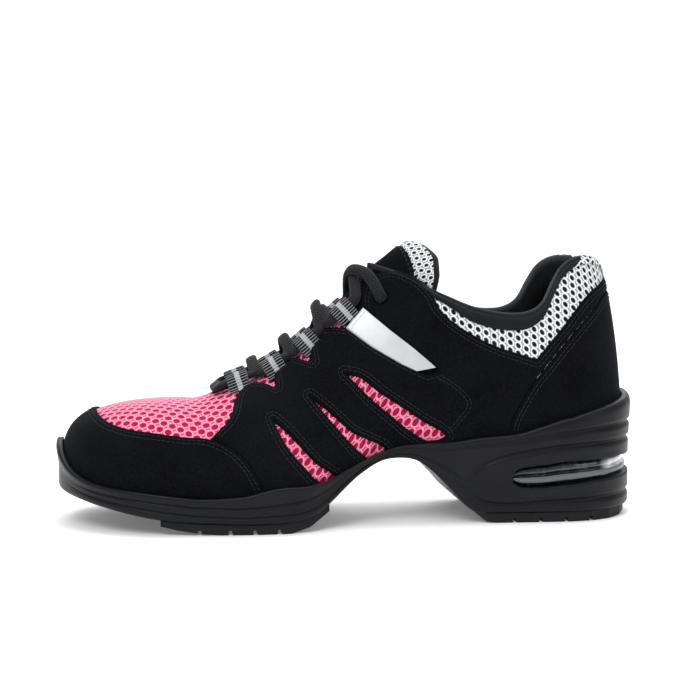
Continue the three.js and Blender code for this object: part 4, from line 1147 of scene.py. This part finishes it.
def make_panel(build, stitching, path, side, climbs, outline, holes=(), layer=None, dents=None, seams=None):
    """One side of a suede panel and its stitches, cut to an outline in side view."""
    plain = surface(path[:, None], side, climbs[None, :])
    normals = grid_normals(plain, side < 0)
    field = on_surface(outline, plain, normals)
    for hole in holes:
        field = np.minimum(field, -on_surface(hole, plain, normals))
    height = edge_height(field, OVERLAY + GAP)
    if layer is not None:
        over = on_surface(layer, plain, normals)
        height = height + 0.45 * smooth(-0.2, 0.35, over) * smooth(0, 0.6, field)
    if dents is not None:
        height = height + dents(plain) * smooth(0, 0.6, field)
    points = surface(path[:, None], side, climbs[None, :], height)
    weave = np.stack(np.broadcast_arrays(plain[..., 0], plain[..., 2]), -1)
    build.grid(points, flip=side < 0, keep=field > -0.9, weave=weave)
    sewn = field if seams is None else on_surface(seams, plain, normals)
    for hole in holes[:3]:
        sewn = np.minimum(sewn, -on_surface(hole, plain, normals))
    sewn = np.where(field > 1, sewn, np.minimum(sewn, field))
    stitch_rows(stitching, points, normals, sewn, SEAM_ROWS, field)
    if layer is not None:
        stitch_rows(stitching, points, normals, over, SEAM_ROWS, field)
        beside = -on_surface(FLASH_OUTLINE, plain, normals)
        stitch_rows(stitching, points, normals, beside, (1.4,), np.where(over > 0, field, 0))


def make_toe_cap(stitching):
    build = Build()
    climbs = np.linspace(0.0, 0.62, 90)
    for side, _ in SIDES:
        path = stretches((0, 1, 1.19), (120, 60))
        make_panel(build, stitching, path, side, climbs, TOE_CAP)
    return finish_piece(build.make("toe_cap_suede", SUEDE), "suede", "toe_cap")


def make_quarter(side, label, stitching):
    """Side panel with its three slits, the room for the patch and the dent at the top eyelet."""
    build = Build()
    path = stretches((path_of(0.24 * LENGTH), 2, 3), (225, 80))
    climbs = np.linspace(0.0, 0.9, 190)
    holes = SLIT_OUTLINES + [FLASH_OUTLINE]
    eye = above_form(TOP_EYELET[0] * LENGTH, side * TOP_EYELET[1] * BALL_WIDTH, np.array(0.0))[0]

    def dents(points):
        away = np.linalg.norm(points - eye, axis=-1)
        return -1.6 * (1 - smooth(2.2, 3.2, away))

    make_panel(build, stitching, path, side, climbs, QUARTER, holes, LAYER, dents, QUARTER_SEAMS)
    return finish_piece(build.make(f"quarter_{label}_suede", SUEDE), "suede", f"quarter_{label}")


def make_counter(stitching):
    """Panel round the heel."""
    build = Build()
    climbs = np.linspace(0.0, 0.66, 150)
    for side, _ in SIDES:
        path = stretches((path_of(0.74 * LENGTH), 2, 3), (70, 90))
        make_panel(build, stitching, path, side, climbs, COUNTER)
    return finish_piece(build.make("heel_counter_suede", SUEDE), "suede", "heel_counter")


def make_flash(side, label, stitching):
    """Coated patch set in the side panel, with one stitched line across its front."""
    build = Build()
    path = np.linspace(path_of(0.475 * LENGTH), path_of(0.65 * LENGTH), 130)
    climbs = np.linspace(0.3, 0.9, 150)
    plain = surface(path[:, None], side, climbs[None, :])
    normals = grid_normals(plain, side < 0)
    field = on_surface(FLASH_OUTLINE, plain, normals)
    height = edge_height(field - 0.15, OVERLAY + GAP + 0.15)
    points = surface(path[:, None], side, climbs[None, :], height)
    build.grid(points, flip=side < 0, keep=field > -0.7, weave=plain[..., ::2])
    stitch_rows(stitching, points, normals, on_surface(FLASH_REST, plain, normals), (2.0,), field)
    return finish_piece(build.make(f"flash_{label}_coated", SILVER), "flash", f"flash_{label}")


# Collar, lining and footbed


def make_collar():
    """Padded collar: out over the mesh's top edge, over the line and down inside to the footbed."""
    build = Build()
    run = stretches((path_of(0.535 * LENGTH), 2, 3), (150, 80))
    for side, _ in SIDES:
        sided = np.full(run.shape, side)
        top = collar_climb(run, sided)
        place = surface(run, sided, top)[..., 0] + LENGTH / 2
        edge = collar_climb(run, sided, lookup(COLLAR_BAND, "width", np.minimum(place / LENGTH, 0.93)))
        outer = [mix(edge, top, share) for share in np.linspace(0, 1, 12)]
        swell = 1.3 * np.sin(math.pi * np.linspace(0.12, 1, 12)[:-1]) ** 0.5
        rows = [surface(run, sided, climb, 0.25 + lift) for climb, lift in zip(outer, [*swell, 0.0])]
        start = surface(run, sided, top, 0.25)
        inside = surface(run, sided, top, lambda p, y: inner_offset(p, y - 2))
        across = inside - start
        width = np.linalg.norm(across, axis=-1, keepdims=True)
        rise = np.array([0, 0, 0.32]) * np.minimum(width, 7.5)
        for angle in np.linspace(0, math.pi, 14)[1:]:
            rows.append((start + inside) / 2 - across / 2 * math.cos(angle) + rise * math.sin(angle))
        for share in np.linspace(0, 1, 46)[1:]:
            climb = mix(top, 0.02, share)
            rows.append(surface(run, sided, climb, inner_offset))
        points = np.stack(rows, 1)
        steps = np.linalg.norm(np.diff(points, axis=1), axis=-1)
        down = np.concatenate([np.zeros((len(run), 1)), np.cumsum(steps, 1)], 1)
        along = length_along(points[:, 12])
        rising = 19 * smooth(0.87, 0.905, place / LENGTH)
        back = np.arange(points.shape[1])[None, :] < rising[:, None]
        weave = np.stack([np.repeat(along[:, None], points.shape[1], 1), down, back * 1.0], -1)
        build.grid(points, flip=side < 0, weave=weave)
    piece = build.make("collar_lining", LINING)
    give_material(piece, GREY, 1)
    finish_piece(piece, "tongue")
    return piece


def make_front_lining():
    """Inner face of the upper ahead of the collar, seen only through the opening."""
    build = Build()
    climbs = np.linspace(0.02, 1, 60)
    for side, _ in SIDES:
        path = stretches((0, 1, path_of(COLLAR_START * LENGTH)), (30, 60))
        points = surface(path[:, None], side, climbs[None, :], -WALL)
        station = points[..., 0] + LENGTH / 2
        keep = ~in_throat(station, points[..., 1])
        weave = top_weave(path, np.full(path.shape, side), climbs)
        build.grid(points, flip=side > 0, keep=keep, weave=weave)
    return finish_piece(build.make("front_lining", LINING), "tongue")


def make_insole():
    """Footbed, crowned up at its border."""
    build = Build()
    shares = np.linspace(0, 1, 40)
    for side, _ in SIDES:
        path = stretches((0, 1, 2, 3), (40, 120, 40))
        reach = profile(path, side, 0.0, -WALL - GAP)[0]
        low = feather(path)
        keel = feather(np.clip(path, 1, 2))
        rows = []
        for share in shares:
            height = mix(keel + INSOLE - 1, low + INSOLE, smooth(0, 1, share))
            rows.append(in_space(path, side, (reach - 0.4) * share, height + 2.2 * smooth(0.82, 1, share)))
        rows.append(in_space(path, side, reach, low + INSOLE * 0.6))
        points = np.stack(rows, 1)
        build.grid(points, flip=side > 0, weave=points[..., :2])
    return finish_piece(build.make("footbed", FOOTBED), "insole", "insole")


# Tongue


def make_tongue(stitching):
    """Padded tongue: pink mesh under the laces, a black panel on top and a pale mesh edge."""
    shares = np.linspace(-1, 1, 97)
    runs = stretches((0, 0.62, 1), (100, 110))
    stations = np.zeros((len(runs), len(shares)))
    for _ in range(4):
        aside = np.abs(shares) * (throat_half(stations) + TONGUE_OVERLAP)
        end = LENGTH * lookup(TONGUE_END, "station", aside)
        stations = mix(0.25 * LENGTH, end, runs[:, None])
    side = np.broadcast_to(np.where(shares < 0, LATERAL, MEDIAL), stations.shape)
    path = path_of(stations)
    climb = bisect(lambda c: profile(path, side, c)[0] > aside, 0.2, 1, path.shape)
    y = profile(path, side, climb)[1]
    free = smooth(1.5, 1.58, path) * smooth(collar_height(stations), INSTEP_TOP - 8, y)
    outer = -WALL - GAP * 1.6 - COLLAR_PAD * smooth(1.56, 1.66, path) + TONGUE_RISE * free
    border = end - stations
    sidedin = throat_half(stations) + TONGUE_OVERLAP - aside
    full = TONGUE + TONGUE_PAD * free
    edge = np.clip(np.minimum(border, sidedin) / (full / 2), 0, 1)
    thick = full * np.sqrt(np.clip(1 - (1 - edge) ** 2, 0.01, 1))
    laid = surface(path, side, climb, outer)
    steps = np.linalg.norm(np.diff(laid, axis=1), axis=-1)
    girth = np.concatenate([np.zeros((len(runs), 1)), np.cumsum(steps, 1)], 1)
    weave = np.stack([stations, girth - girth[:, len(shares) // 2][:, None]], -1)
    puff = 0.9 * np.exp(-(((border - 7) / 4) ** 2)) - 0.9 * np.exp(-(((border - TONGUE_BAND) / 0.9) ** 2))
    top = stations > 0.53 * LENGTH
    mesh_top = top & (border < TONGUE_BAND)
    in_mesh = np.minimum(border - TONGUE_BINDING, TONGUE_BAND - border) * top
    lines = TONGUE_KNIT.relief(weave, 0.5, in_mesh)
    lines = lines + PINK_KNIT.relief(weave, 0.4, TONGUE_PINK * LENGTH - stations)
    front = surface(path, side, climb, outer - full / 2 + thick / 2 + puff * top + lines)
    back = surface(path, side, climb, outer - full / 2 - thick / 2)
    sewn = np.where(stations > 0.52 * LENGTH, border, 0)
    stitch_rows(stitching, front, grid_normals(front, False), sewn, (TONGUE_BAND + 1.6,))
    build = Build()
    bound = border <= TONGUE_BINDING
    kind = np.where(bound, 0.0, np.where(mesh_top, 2.0, 3.0))
    kind = np.where(stations < TONGUE_PINK * LENGTH, 1.0, kind)
    build.grid(front, weave=np.concatenate([weave, kind[..., None]], -1))
    build.grid(back, flip=True, weave=weave)
    for row in (0, -1):
        build.grid(np.stack([front[row], back[row]], 0), flip=row == -1)
    for col in (0, -1):
        build.grid(np.stack([front[:, col], back[:, col]], 0), flip=col == 0)
    piece = build.make("tongue_padded", LINING)
    for number, material in enumerate((PINK, TONGUE_GREY, SUEDE)):
        give_material(piece, material, number + 1)
    finish_piece(piece, "tongue", "tongue")
    return piece


# Sole


def groove_depth(share, path):
    """Inset of the sole's side: rounded grooves, a softened lower edge and a rolled rim."""
    height = rim_height(path) - underside_height(path)
    inset = 0.0
    for name in ("upper", "middle", "lower"):
        ahead = (path < 1.7) if name == "middle" else (name == "upper")
        depths = [lookup(SOLE_SIDE, column, path) for column in ("upperDepth", "heelDepth")]
        depth = SOLE_GROOVE * np.where(ahead, *depths)
        away = np.abs(share - lookup(SOLE_SIDE, name, path)) * height
        wide = mix(0.45, 0.95, smooth(1.6, 1.9, path))
        inset = inset + depth * np.exp(-((away / wide) ** 2))
    chamfer = np.minimum(2.2, height * 0.3)
    low = np.clip(1 - share * height / 2.4, 0, 1)
    inset = inset + chamfer * (1 - np.sqrt(np.clip(1 - low**2, 0, 1)))
    roll = RIM_ROUND * lookup(SOLE_SIDE, "round", path)
    high = np.clip(1 - (1 - share) * height / (roll * 1.6 + 0.6), 0, 1)
    return inset + roll * (1 - np.sqrt(np.clip(1 - high**2, 0, 1)))


def window_depth(path, side, height):
    """How deep the slot round the heel is cut at a height."""
    low = HEEL_SEAT * lookup(WINDOW, "low", path)
    high = HEEL_SEAT * lookup(WINDOW, "high", path)
    left = np.clip(1 - (path - WINDOW_START) / WINDOW_ROUND, 0, 1)
    half = (high - low) / 2 * np.sqrt(np.clip(1 - left**2, 0, 1))
    away = np.abs(height - (low + high) / 2) - half
    return np.where(path > WINDOW_START, 7.0 * (1 - smooth(-0.45, 0.1, away)), 0.0)


def make_sole():
    """Sole's underside, its grooved side with the slot round the heel, and its rolled rim."""
    build = Build()
    shares = np.linspace(0, 1, 76)
    for side, _ in SIDES:
        path = stretches((0, 1, 1.8, 2, 3), (90, 130, 60, 90))
        low, high = underside_height(path), rim_height(path)
        keel = underside_height(np.clip(path, 1, 2))
        rows = []
        for share in np.linspace(0, 1, 8, endpoint=False):
            height = mix(keel, low, smooth(0, 1, share))
            edge = sole_reach(path, side, 0.0) - groove_depth(0.0, path)
            rows.append(in_space(path, side, edge * share, height))
        for share in shares:
            height = mix(low, high, share)
            reach = sole_reach(path, side, share) - groove_depth(share, path)
            reach = reach - window_depth(path, side, height) * (share > 0)
            rows.append(in_space(path, side, reach, height))
        inner = reach_at_height(path, side, high, OVERLAY + 2 * GAP)
        rows.append(in_space(path, side, inner + 0.5, high + 0.05))
        rows.append(in_space(path, side, inner + 0.1, high - 0.6))
        rows.append(in_space(path, side, inner, high - 3))
        points = np.stack(rows, 1)
        run = length_along(points[:, 40])
        height = points[..., 2]
        slot_low, slot_high = [HEEL_SEAT * lookup(WINDOW, end, path)[:, None] for end in ("low", "high")]
        beside = np.maximum(slot_low - height, height - slot_high)
        dots = smooth(1.0, 1.5, beside) * (1 - smooth(3.6, 4.2, beside))
        dots = dots * smooth(1.83, 1.88, path)[:, None] * (1 - smooth(2.35, 2.6, path)[:, None])
        along = np.repeat(run[:, None], points.shape[1], 1)
        build.grid(points, flip=side < 0, weave=np.stack([along, height, dots], -1))
    return finish_piece(build.make("sole_moulded", RUBBER), "sole", "sole")


def make_cushion():
    """Clear cushion set back in the slot, with a satin flange along its lower half."""
    clear_low = [(-7.0, 0.0), (-5.0, 0.03), (-4.2, 0.1), (-4.0, 0.18)]
    flange = [(-4.0, 0.18), (-1.9, 0.2), (-1.5, 0.24), (-1.5, 0.44), (-1.9, 0.48)]
    clear_high = [(-1.9, 0.48), (-3.6, 0.53), (-3.0, 0.68), (-3.2, 0.82), (-4.4, 0.94), (-7.0, 1.0)]
    run = stretches((WINDOW_START + 0.004, WINDOW_START + 0.045, 2, 3), (16, 40, 80))
    build = Build()
    for side, _ in SIDES:
        low = HEEL_SEAT * lookup(WINDOW, "low", run) + GAP
        high = HEEL_SEAT * lookup(WINDOW, "high", run) - GAP
        left = np.clip(1 - (run - WINDOW_START) / WINDOW_ROUND, 0, 1)
        half = (high - low) / 2 * np.maximum(0.2, np.sqrt(np.clip(1 - left**2, 0, 1)))
        centre = (low + high) / 2
        reach = sole_reach(run, side, 0.4)
        for number, part in enumerate((clear_low, flange, clear_high)):
            corners = curve_through(part, 0.12)
            rows = [in_space(run, side, reach + out, centre + half * (2 * up - 1)) for out, up in corners]
            points = np.stack(rows, 1)
            mark = np.full(points.shape[:2], float(number == 1))
            build.grid(points, flip=side < 0, weave=np.stack([points[..., 0], points[..., 2], mark], -1))
    piece = build.make("cushion_clear_band", CLEAR)
    give_material(piece, FLANGE, 1)
    return finish_piece(piece, "cushion", "heel_cushion")


# Laces and their loops


def seat(row, side, lift):
    return above_form(row[0] * LENGTH, side * row[1] * BALL_WIDTH, np.array(float(lift)))


def make_loop(row, side, label, number):
    """Webbing folded round the lace, with its sewn end under the suede."""
    point, along, over, normal = seat(LOOPS[row], side, 0)
    inward = over * -side
    wide = LACE_WIDTH / 2 + 0.7
    tall = LACE_THICKNESS / 2 + 0.4
    middle = GAP + RIBBON + tall

    def folded(grow):
        """Round the lace's inner side, over its top and down to the panel."""
        fold = wide - tall - 0.2
        turns = [-math.pi / 2 + math.pi * i / 12 for i in range(13)]
        line = [(fold + (tall + grow) * math.cos(a), middle + (tall + grow) * math.sin(a)) for a in turns]
        top = middle + tall + grow
        line += [(-0.2, top - 0.1), (-1.9, top - 0.8), (-3.1, top - 2.1), (-3.9, top - 3.4)]
        return curve_through(line + [(-4.9, GAP + 0.3 + grow * 0.5), (-6.6, GAP)], 0.3)

    outer, inner = folded(RIBBON), folded(0.05)
    widths = np.linspace(-RIBBON_WIDTH / 2, RIBBON_WIDTH / 2, 40)
    build = Build()

    def sweep(line, sink):
        run = length_along(line)
        edge = 0.3 * (1 - np.sqrt(np.clip(1 - (np.abs(widths) / (RIBBON_WIDTH / 2)) ** 8, 0, 1)))
        ribs = 0.08 * np.sin(2 * math.pi * run / 1.25)
        out = unit(np.stack([line[:, 0] * 0.5, line[:, 1] - middle], -1))
        moved = line[:, None] + out[:, None] * (ribs[:, None, None] - edge[None, :, None]) * sink
        return (
            point
            + moved[..., :1] * inward
            + moved[..., 1:] * normal
            + widths[None, :, None] * along
        ), np.stack(np.broadcast_arrays(widths[None, :], run[:, None]), -1)

    top, weave = sweep(outer, 1.0)
    bottom, under = sweep(inner, 0.0)
    flip = side > 0
    build.grid(top, flip=flip, weave=weave)
    build.grid(bottom, flip=not flip, weave=under)
    count = min(len(top), len(bottom))
    for col, turned in ((0, flip), (-1, not flip)):
        a = top[np.linspace(0, len(top) - 1, count).astype(int), col]
        b = bottom[np.linspace(0, len(bottom) - 1, count).astype(int), col]
        build.grid(np.stack([a, b], 1), flip=turned)
    piece = build.make(f"loop_{label}_{number}", WEBBING)
    return finish_piece(piece, "webbing", f"lace_loop_{label}_{number}")


def lace_stops():
    """Places that the lace runs through, from the outer top eyelet to the inner one."""
    stops = []

    def stop(place):
        stops.append((place[0], place[3]))

    def through(row, side, upward):
        point, along, _, normal = seat(LOOPS[row], side, GAP + RIBBON + LACE_THICKNESS / 2 + 0.4)
        reach = RIBBON_WIDTH / 2 * (1 if upward else -1)
        for share in (-1.55, -1, 1, 1.55):
            stops.append((point + along * reach * share, normal))

    def cross(low, high, over):
        station = (LOOPS[low][0] + LOOPS[high][0]) / 2 * LENGTH
        stop(above_form(station, 0.001, np.array(5.4 if over else 2.1)))

    last = (LOOPS[3][0] + 0.026) * LENGTH
    front = LOOPS[0][0] * LENGTH - RIBBON_WIDTH / 2 - 4.0
    for lift in (0.0, 2.4):
        stop(seat(TOP_EYELET, LATERAL, lift))
    stop(above_form(last + 5, -LACE_WIDTH - 3, np.array(3.4)))
    stop(above_form(last, -1, np.array(4.6)))
    through(3, MEDIAL, False)
    for row, side in ((2, LATERAL), (1, MEDIAL), (0, LATERAL)):
        cross(row, row + 1, True)
        through(row, side, False)
    for aside in (-0.085, 0, 0.085):
        stop(above_form(front - 0.8 * (aside == 0), BALL_WIDTH * aside + 0.001, np.array(2.2)))
    through(0, MEDIAL, True)
    for row, side in ((1, LATERAL), (2, MEDIAL), (3, LATERAL)):
        cross(row - 1, row, False)
        through(row, side, True)
    stop(above_form(last, -1, np.array(1.7)))
    stop(above_form(last + 5, LACE_WIDTH + 2, np.array(2.6)))
    for lift in (2.4, 0.0):
        stop(seat(TOP_EYELET, MEDIAL, lift))
    return stops


def make_lace():
    """Oval cord swept along its route, lying flat on the shoe."""
    stops = lace_stops()
    points = curve_through([p for p, _ in stops], 0.6)
    keys = np.array([p for p, _ in stops])
    guides = np.array([n for _, n in stops])
    run = length_along(points)
    marks = []
    reached = 0
    for key in keys:
        near = reached + int(np.argmin(np.linalg.norm(points[reached:] - key, axis=1)))
        marks.append(run[near])
        reached = near
    tangent = unit(np.gradient(points, axis=0))
    guide = np.stack([np.interp(run, marks, guides[:, i]) for i in range(3)], -1)
    out = unit(np.cross(tangent, guide))
    up = np.cross(out, tangent)
    angles = np.linspace(0, 2 * math.pi, 25)
    shape_x = np.sign(np.cos(angles)) * np.abs(np.cos(angles)) ** 0.85 * LACE_WIDTH / 2
    shape_y = np.sign(np.sin(angles)) * np.abs(np.sin(angles)) ** 0.85 * LACE_THICKNESS / 2
    rings = points[:, None] + out[:, None] * shape_x[None, :, None] + up[:, None] * shape_y[None, :, None]
    girth = angles / (2 * math.pi) * 13.5
    weave = np.stack(np.broadcast_arrays(run[:, None], girth[None, :]), -1)
    build = Build()
    build.grid(rings, flip=True, weave=weave)
    piece = build.make("lace_cord", BRAID)
    return finish_piece(piece, "lace", "lace")


# The shoe
stitching = Build()
make_vamp()
make_collar_mesh()
make_toe_cap(stitching)
make_counter(stitching)
make_collar()
make_front_lining()
make_insole()
make_tongue(stitching)
make_sole()
make_cushion()
make_lace()
for side, label in SIDES:
    make_side_mesh(side, label)
    make_quarter(side, label, stitching)
    make_flash(side, label, stitching)
    for row in range(4):
        make_loop(row, side, label, row + 1)
finish_piece(stitching.make("stitching", THREAD, merge=0), "suede")
for name in ("forefoot_tread", "heel_tread"):
    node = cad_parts[name]
    for slot in node.material_slots:
        slot.material = TREAD_RUBBER


# Floor, light and camera
CAMERA_YAW = 7.5
CAMERA_RISE = 4.2
CAMERA_AWAY = 680.0
CAMERA_AT = (0.9, 0.0, 74.0)
CAMERA_LENS = 77.99


def area_light(name, place, target, size, power):
    data = bpy.data.lights.new(name, "AREA")
    data.shape = "RECTANGLE"
    data.size, data.size_y = size
    data.energy = power
    lamp = bpy.data.objects.new(name, data)
    lamp.location = place
    lamp.rotation_euler = (Vector(target) - Vector(place)).to_track_quat("-Z", "Y").to_euler()
    bpy.context.scene.collection.objects.link(lamp)


def make_stage():
    m = Nodes("floor_white")
    m.set(Base_Color=(0.93, 0.93, 0.93, 1), Roughness=0.9)
    m.set(Emission_Color=(1, 1, 1, 1), Emission_Strength=0.12)
    rows = []
    for x in np.linspace(-8, 8, 17):
        line = [(x, -9.0, 0.0), (x, -3.0, 0.0), (x, 0.0, 0.0), (x, 1.0, 0.0)]
        for step in range(1, 13):
            angle = math.pi / 2 * step / 12
            line.append((x, 1.0 + 0.6 * math.sin(angle), 0.6 * (1 - math.cos(angle))))
        line.append((x, 1.6, 3.0))
        rows.append(line)
    build = Build()
    build.grid(np.array(rows) / MM)
    build.make("floor", m.material)


def make_camera():
    yaw, rise = math.radians(CAMERA_YAW), math.radians(CAMERA_RISE)
    back = Vector((-math.sin(yaw) * math.cos(rise), -math.cos(yaw) * math.cos(rise), math.sin(rise)))
    target = Vector(CAMERA_AT) * MM
    camera = bpy.data.objects.new("camera", bpy.data.cameras.new("camera"))
    camera.data.lens = CAMERA_LENS
    camera.data.sensor_width = 36
    camera.location = target + back * CAMERA_AWAY * MM
    camera.rotation_euler = (-back).to_track_quat("-Z", "Y").to_euler()
    bpy.context.scene.collection.objects.link(camera)
    bpy.context.scene.camera = camera


make_stage()
make_camera()
area_light("key", (-0.5, -0.9, 1.1), (0, 0, 0.05), (0.7, 0.7), 9)
area_light("fill", (0.9, -0.9, 0.6), (0, 0, 0.05), (0.9, 0.9), 3)
area_light("top", (0.1, 0.1, 1.4), (0, 0, 0), (1.1, 1.1), 13)
area_light("back", (0.2, 1.0, 0.9), (0, 0, 0.08), (1.4, 0.7), 7)
world = bpy.data.worlds.new("studio")
world.use_nodes = True
world.node_tree.nodes["Background"].inputs["Color"].default_value = (1, 1, 1, 1)
world.node_tree.nodes["Background"].inputs["Strength"].default_value = 0.5
bpy.context.scene.world = world
bpy.context.scene.view_settings.view_transform = "Standard"
